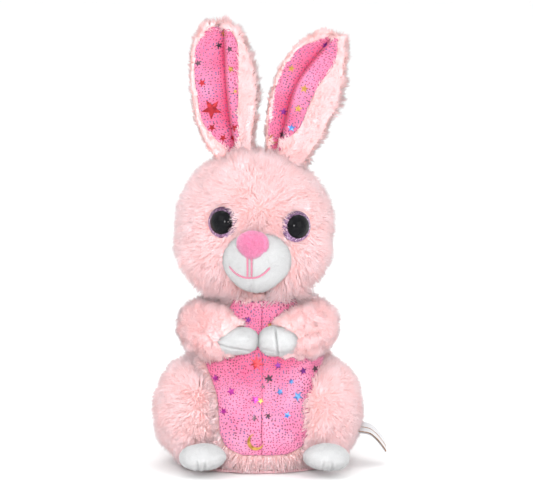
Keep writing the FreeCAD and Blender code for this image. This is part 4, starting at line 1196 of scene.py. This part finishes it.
def belly_panel(word, side):
    rows, columns = 64, 26
    points, fold_shades = [], []
    for up in np.linspace(11, 94, rows) * MM:
        (half,) = values_at(PANEL_ROWS, up)
        edge = PANEL_X + side * half
        across = SEAM_X + (edge - SEAM_X) * np.linspace(0, 1, columns)
        level = np.full(columns, up)
        seam_dip = 0.35 * MM * np.exp(-((across - SEAM_X) / (1.1 * MM)) ** 2)
        ripple = flat_waves(across, level, 0.034, 70 + side) * 0.7 * MM + belly_wrinkles(across, level)
        patch = flat_waves(across, level, 0.055, 75)
        # painted shade: the cloth darkens to crimson towards the top, under the arms, with broad uneven
        # patches
        shade_under_arms = smooth_step(level - across * 0.25, 40 * MM, 64 * MM)
        fold_shades.append(shade_under_arms * (0.75 + 0.35 * patch) + 0.16 * patch)
        points.append(belly_surface(across, level, PANEL_OUT - seam_dip + ripple))
    points = np.concatenate(points)
    faces = grid_faces(rows, columns, False)
    if side < 0:
        faces = [tuple(reversed(face)) for face in faces]
    flat = grid_map(points, rows, columns) * np.array([side, 1])
    item, area = cloth("belly_cloth_" + word, points, faces, flat, 0.6 * MM, np.concatenate(fold_shades))
    give(item, MATERIALS["belly"], "base", ["belly_panel_" + word])


def belly_marks():
    def surface(across, up):
        return belly_surface(across, up, PANEL_OUT + 0.75 * MM + belly_wrinkles(across, up))

    foil_marks("belly_foil", BELLY_MARKS, surface, "base")


def haunch_centre(word):
    low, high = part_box("haunch_" + word)
    return np.array([AXIS_X + SIDES[word] * 36.5 * MM, (low[1] + high[1]) / 2, high[2] / 2 + 2.6 * MM])


def sleeve_line(word):
    """The middle line of a sleeve, from the shoulder to the wrist, and the joint's axis as the way up."""
    side, turn_radius, sweep = SIDES[word], 34 * MM, math.radians(54)
    joint = JOINTS["arm_%s_swing" % word]
    up = np.array(joint["axis"]) * side
    centre = np.array(joint["pos_m"]) - np.array([side * turn_radius, 0, 0])
    angles = np.linspace(0, sweep, 28)
    return circle(centre, turn_radius, (side, 0, 0), -np.cross(up, (1, 0, 0)), angles), up


def near_sleeves(points, reach):
    places = np.concatenate([sleeve_line(word)[0][::3] for word in SIDES])
    return np.min(np.linalg.norm(points[:, None] - places, axis=2), axis=1) < reach


def torso_fur(skin):
    def keep(points, facing):
        up = points[:, 2]
        (half,) = values_at(PANEL_ROWS, up)
        front = (points[:, 1] < 0) & (up > 12 * MM) & (up < 93 * MM)
        bare = front & (np.abs(points[:, 0] - PANEL_X) < half - 0.8 * MM)
        for word in SIDES:
            bare |= np.linalg.norm((points - haunch_centre(word)) / mm(12, 26, 18.5), axis=1) < 1
        bare |= near_sleeves(points, 9 * MM)
        return ~(bare | (up > 96 * MM) | (facing[:, 2] < -0.8))

    def comb(points, facing):
        outward = np.stack([points[:, 0] - AXIS_X, points[:, 1], 0 * points[:, 2]], axis=1)
        return unit(outward) * 0.4 + np.array([0, 0, -1.0])

    fur("torso_fur", skin, 38000, comb, "base", 53, length=7.6, lift=0.9, width=0.25, keep=keep, parts=2)


def haunch(word, side):
    centre = haunch_centre(word)
    blobs = [
        (centre, mm(15.8, 30, 22.5), None),
        (centre + mm(-side * 2, -12, -9), mm(12.5, 17, 15), None),
        (centre + mm(side * 0.5, 2, 8), mm(14.0, 24, 16.5), None),
    ]

    def shape(points):
        points[:, 2] = np.maximum(points[:, 2], 1.6 * MM)
        return points

    item = blob_form("haunch_skin_" + word, centre, blobs, blend=16.0, level=5, shape=shape)
    give(item, MATERIALS["skin"], "base", ["haunch_" + word])
    crown = centre + mm(-side * 8, -22, 16)
    foot = middle("foot_" + word)

    def keep(points, facing):
        around = (points - foot)[:, [0, 2]] / mm(10.5, 6.0)
        on_foot = (points[:, 1] < foot[1] + 12 * MM) & (np.linalg.norm(around, axis=1) < 1)
        distance = np.linalg.norm((points - (AXIS_X, 0, 0))[:, :2], axis=1)
        in_torso = distance < torso_radius(points[:, 2]) - 1 * MM
        return ~(on_foot | in_torso | (facing[:, 2] < -0.85))

    def comb(points, facing):
        return unit(points - crown) + np.array([side * 0.15, 0.1, -0.35])

    seed = 61 if side > 0 else 67
    fur("haunch_fur_" + word, item, 19500, comb, "base", seed, length=7.4, lift=0.95, width=0.25, keep=keep)


def foot(word, side):
    centre = middle("foot_" + word)
    blobs = [
        (centre + mm(0, 0, 1.2), mm(12.0, 11.2, 6.4), None),
        (centre + mm(0, -1.5, 0.2), mm(11.4, 10.0, 5.6), np.array(Matrix.Rotation(side * 0.1, 3, "Y"))),
    ]

    def shape(points):
        points = press(points, centre, (1, 0, 0.12), 3.0 * side, 1.2, 0.6, low_front)
        points = press(points, centre, (1, 0, -0.12), -1.6 * side, 1.0, 0.6, low_front)
        points = points + unit(points - centre) * (waves(points, 0.009, 15) * 0.14 * MM)[:, None]
        points[:, 2] = np.maximum(points[:, 2], 0.8 * MM)
        return points

    item = blob_form("foot_velour_" + word, centre, blobs, blend=12.0, shape=shape)
    give(item, MATERIALS["velour"], "base", ["foot_" + word])
    pile("foot_pile_" + word, item, 7000, "base", 71 if side > 0 else 73, MATERIALS["white_pile"])


def tail():
    low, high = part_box("tail")
    centre = np.array([AXIS_X, high[1] - 12.5 * MM, (low[2] + high[2]) / 2])
    item = blob_form("tail_skin", centre, [(centre, mm(9, 9, 9), None)], level=4)
    give(item, MATERIALS["skin"], "base", ["tail"])

    def comb(points, facing):
        return unit(points - centre) + np.array([0, 0.3, -0.3])

    fur("tail_fur", item, 6000, comb, "base", 79, length=7.0, lift=0.9, width=0.34)


# ---------------------------------------------------------------- arms

SLEEVE_ROWS = [(0, 8.6), (10, 9.9), (22, 9.9), (32, 8.4)]


def sleeve(word, side):
    line, up = sleeve_line(word)
    along = unit(np.gradient(line, axis=0))
    angles = np.linspace(0, 2 * math.pi, 40, endpoint=False)
    shoulder = [(line[0] + along[0] * back * 9 * MM, along[0], 9 * MM * size)
                for back, size in ((-0.98, 0.2), (-0.8, 0.6), (-0.45, 0.89))]
    (radii,) = values_at(SLEEVE_ROWS, travel_along(line))
    wrist = [(line[-1] + along[-1] * on * MM, along[-1], size * MM) for on, size in ((2.5, 8.2), (4.2, 5.0))]
    rings = []
    for place, way, radius in shoulder + list(zip(line, along, radii)) + wrist:
        second = unit(np.cross(way, up))
        rings.append(circle(place, radius, second, np.cross(second, way), angles))
    item = tube_form("sleeve_skin_" + word, rings)
    give(item, MATERIALS["skin"], "arm_" + word, ["arm_sleeve_" + word])
    paw_centre = middle("paw_" + word)

    def keep(points, facing):
        return ~(np.linalg.norm((points - paw_centre) / mm(10.5, 9, 6.8), axis=1) < 1)

    def size(points):
        return 0.65 + 0.45 * smooth_step(np.linalg.norm(points - paw_centre, axis=1), 11 * MM, 20 * MM)

    def comb(points, facing):
        nearest = np.argmin(np.linalg.norm(points[:, None, :] - line[None, :, :], axis=2), axis=1)
        return along[nearest] * 0.9 + np.array([side * 0.1, -0.1, -0.25])

    seed = 83 if side > 0 else 89
    fur("sleeve_fur_" + word, item, 18500, comb, "arm_" + word, seed, length=7.6, lift=0.85, width=0.25,
        clump=0.5, keep=keep, size=size)


def paw(word, side):
    centre = middle("paw_" + word) - mm(0, 0, 2.2)
    wide, _deep, tall = half_size("paw_" + word)
    tall = tall * (0.97 if side > 0 else 0.84)
    lean = np.array(Matrix.Rotation(0.05 if side > 0 else -0.2, 3, "Y"))
    blobs = [
        (centre + mm(0, 0, 0.6), np.array([wide * 0.98, 8.8 * MM, tall * 0.94]), lean),
        (centre + mm(-side * 4.5, 0.6, 0.4), np.array([wide * 0.6, 8.2 * MM, tall * 0.9]), lean)]

    def shape(points):
        if side > 0:
            points = press(points, centre, (1, 0, 0.1), -1.6, 1.3, 0.7, facing_front)
            points = press(points, centre, (0.2, 0, 1), -4.8, 0.9, 0.7, facing_front)
        else:
            points = press(points, centre, (0.2, 0, 1), -2.6, 1.2, 0.7, facing_front)
        return points + unit(points - centre) * (waves(points, 0.009, 25) * 0.14 * MM)[:, None]

    item = blob_form("paw_velour_" + word, centre, blobs, blend=14.0, shape=shape)
    give(item, MATERIALS["velour"], "arm_" + word, ["paw_" + word])
    pile("paw_pile_" + word, item, 6000, "arm_" + word, 97 if side > 0 else 101, MATERIALS["white_pile"])


# ---------------------------------------------------------------- label and base cloth

LABEL_TILT = 0.16


def care_label():
    """A plain folded ribbon in the side seam, edged with brown thread."""
    low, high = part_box("care_label")
    path = np.array([
        (53, 19.3), (57, 19.0), (61, 17.9), (65, 14.4), (68.2, 10.2), (69.3, 8.2), (68.9, 7.9), (67.9, 9.4),
        (64.6, 13.5), (60.8, 17.0), (57, 18.1), (53, 18.5)]) * MM
    knots = np.arange(len(path))
    at = np.linspace(0, len(path) - 1, 60)
    across, up = curve(knots, path[:, 0], at), curve(knots, path[:, 1], at)
    rows, columns = len(at), 12
    widths = np.linspace(low[1] + 0.4 * MM, high[1] - 0.4 * MM, columns)
    points = np.array([(x, y, z + (y - widths[0]) * LABEL_TILT) for x, z in zip(across, up) for y in widths])
    item, area = cloth(
        "label_ribbon", points, grid_faces(rows, columns, False), grid_map(points, rows, columns), 0.3 * MM)
    give(item, MATERIALS["ribbon"], "base", ["care_label"])
    stitches = []
    for y in (widths[0], widths[5]):
        rise = (y - widths[0]) * LABEL_TILT + 0.2 * MM
        upper = [(x, y, z + rise) for x, z in list(zip(across, up))[:rows // 2]]
        stitches.append(thread(upper, 0.24 * MM, 0.2, sides=6))
    give(join_parts("label_stitch", stitches), MATERIALS["ribbon_edge"], "base")


def base_cloth():
    """The woven cloth under the toy, with openings for the battery door and the switch."""
    low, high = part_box("base_cloth")
    centre, radius = np.array([AXIS_X, 0.0]), (high[0] - low[0]) / 2
    door_low, door_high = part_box("battery_door")
    knob = middle("switch_knob")
    door = (door_low[0] - 0.6 * MM, door_high[0] + 0.6 * MM, door_low[1] - 0.6 * MM, door_high[1] + 0.6 * MM)
    slot = (knob[0] - 2.4 * MM, knob[0] + 2.4 * MM, -5 * MM, 5 * MM)
    steps = np.linspace(-radius, radius, 61)
    xs = np.unique(np.concatenate([steps + centre[0], door[:2], slot[:2]]))
    ys = np.unique(np.concatenate([steps, door[2:], slot[2:]]))

    def open_at(x, y):
        return any(h[0] < x < h[1] and h[2] < y < h[3] for h in (door, slot))

    index, points, faces = {}, [], []
    for i in range(len(xs) - 1):
        for j in range(len(ys) - 1):
            x, y = (xs[i] + xs[i + 1]) / 2, (ys[j] + ys[j + 1]) / 2
            if math.hypot(x - centre[0], y) > radius - 1.2 * MM or open_at(x, y):
                continue
            face = []
            for a, b in ((i, j), (i, j + 1), (i + 1, j + 1), (i + 1, j)):
                if (a, b) not in index:
                    index[(a, b)] = len(points)
                    points.append([xs[a], ys[b], 0.0])
                face.append(index[(a, b)])
            faces.append(tuple(face))
    points = np.array(points)
    edges = {(a, b) for face in faces for a, b in zip(face, face[1:] + face[:1])}
    rim = sorted({a for a, b in edges if (b, a) not in edges})
    for corner in rim:
        offset = points[corner, :2] - centre
        distance = np.linalg.norm(offset)
        if distance > radius - 4 * MM:
            points[corner, :2] = centre + offset * (radius - 0.3 * MM) / distance
    reach = np.linalg.norm(points[:, :2] - centre, axis=1)
    lift = 0.25 * MM * smooth_step(reach, radius * 0.82, radius) * (1 + waves(points, 0.012, 107))
    points[:, 2] = 0.75 * MM + lift
    flat = points[:, :2].copy()
    item, area = cloth("base_fabric", points, faces, flat, 1.3 * MM)
    give(item, MATERIALS["woven"], "base", ["base_cloth"])
    angles = np.linspace(0, 2 * math.pi, 361)
    ring = circle((AXIS_X, 0, 0.35 * MM), radius - 2 * MM, (1, 0, 0), (0, 1, 0), angles)
    seam = join_parts("base_seam", [thread(ring, 0.3 * MM, 0.45, 2.6 * MM, sides=6)])
    give(seam, MATERIALS["thread"], "base")


# ---------------------------------------------------------------- CAD pieces that stay

def finish_cad():
    """Materials for the hard pieces, by the slot that the record gives them."""
    slots = {part["node"]: part["material_slot"] for part in frame["record"]["subparts"]}
    for name, item in frame["nodes"].items():
        material = HARD.get(slots[name], MATERIALS["skin"])
        if name.startswith("eye_iris"):
            material = MATERIALS["iris"]
        if name.startswith("eye_pupil"):
            material = MATERIALS[name.replace("eye_", "")]
        for slot in item.material_slots:
            slot.material = material


# ---------------------------------------------------------------- camera and light

def backdrop():
    """A pale floor that curves up far behind the toy."""
    wide, front, behind, bend = 6.0, -6.0, 3.6, 1.2
    turn = np.linspace(0, math.pi / 2, 24)
    path = [(front, 0.0)] + [(behind + bend * math.sin(a), bend * (1 - math.cos(a))) for a in turn]
    path.append((behind + bend, 5.0))
    verts = [(side * wide, y, z) for y, z in path for side in (-1, 1)]
    item = new_mesh("backdrop", verts, [(i, i + 1, i + 3, i + 2) for i in range(0, len(verts) - 2, 2)])
    nodes = Nodes("pale_floor", Roughness=0.9)
    tone = nodes.noise(40.0, 2.0)
    nodes.colour(nodes.ramp(tone, [(0.3, (0.94, 0.94, 0.94)), (0.7, (0.96, 0.96, 0.96))]))
    item.data.materials.append(nodes.material)


def aim_from(item, place, target):
    item.location = place
    item.rotation_euler = (target - item.location).to_track_quat("-Z", "Y").to_euler()


def camera_and_light():
    scene = bpy.context.scene
    aim, tilt, distance, view_width = Vector((3.05 * MM, 0, 119.4 * MM)), math.radians(8), 3.0, 0.296
    data = bpy.data.cameras.new("camera")
    data.sensor_width = 36.0
    data.lens = data.sensor_width * distance / view_width
    data.clip_end = 20.0
    scene.camera = show("camera", data)
    aim_from(scene.camera, aim + Vector((0, -math.cos(tilt), math.sin(tilt))) * distance, aim)
    scene.view_settings.view_transform = "Standard"
    world = bpy.data.worlds.new("studio")
    world.use_nodes = True
    background = world.node_tree.nodes["Background"]
    background.inputs["Color"].default_value = WHITE + (1.0,)
    background.inputs["Strength"].default_value = 1.06
    scene.world = world
    lamps = [
        ("key", (-0.7, -0.9, 1.0), 1.0, 3.3), ("fill", (0.9, -0.8, 0.6), 0.9, 3.3),
        ("top", (0.0, 0.3, 1.3), 0.8, 2.8), ("catch_light", (0.0, -1.5, 0.5), 0.3, 9.0)]
    for name, place, size, power in lamps:
        lamp = bpy.data.lights.new(name, "AREA")
        lamp.size = size
        lamp.energy = power
        aim_from(show(name, lamp), place, aim)
    backdrop()


camera_and_light()
head = head_skin()
head_fur(head)
muzzle = muzzle_form()
nose_form()
mouth_threads(muzzle)
torso = torso_skin()
torso_fur(torso)
tail()
care_label()
base_cloth()
for word, side in SIDES.items():
    back = ear_skin(word)
    ear_fur(word, back)
    ear_lining(word)
    ear_marks(word)
    belly_panel(word, side)
    haunch(word, side)
    foot(word, side)
    sleeve(word, side)
    paw(word, side)
belly_marks()
finish_cad()
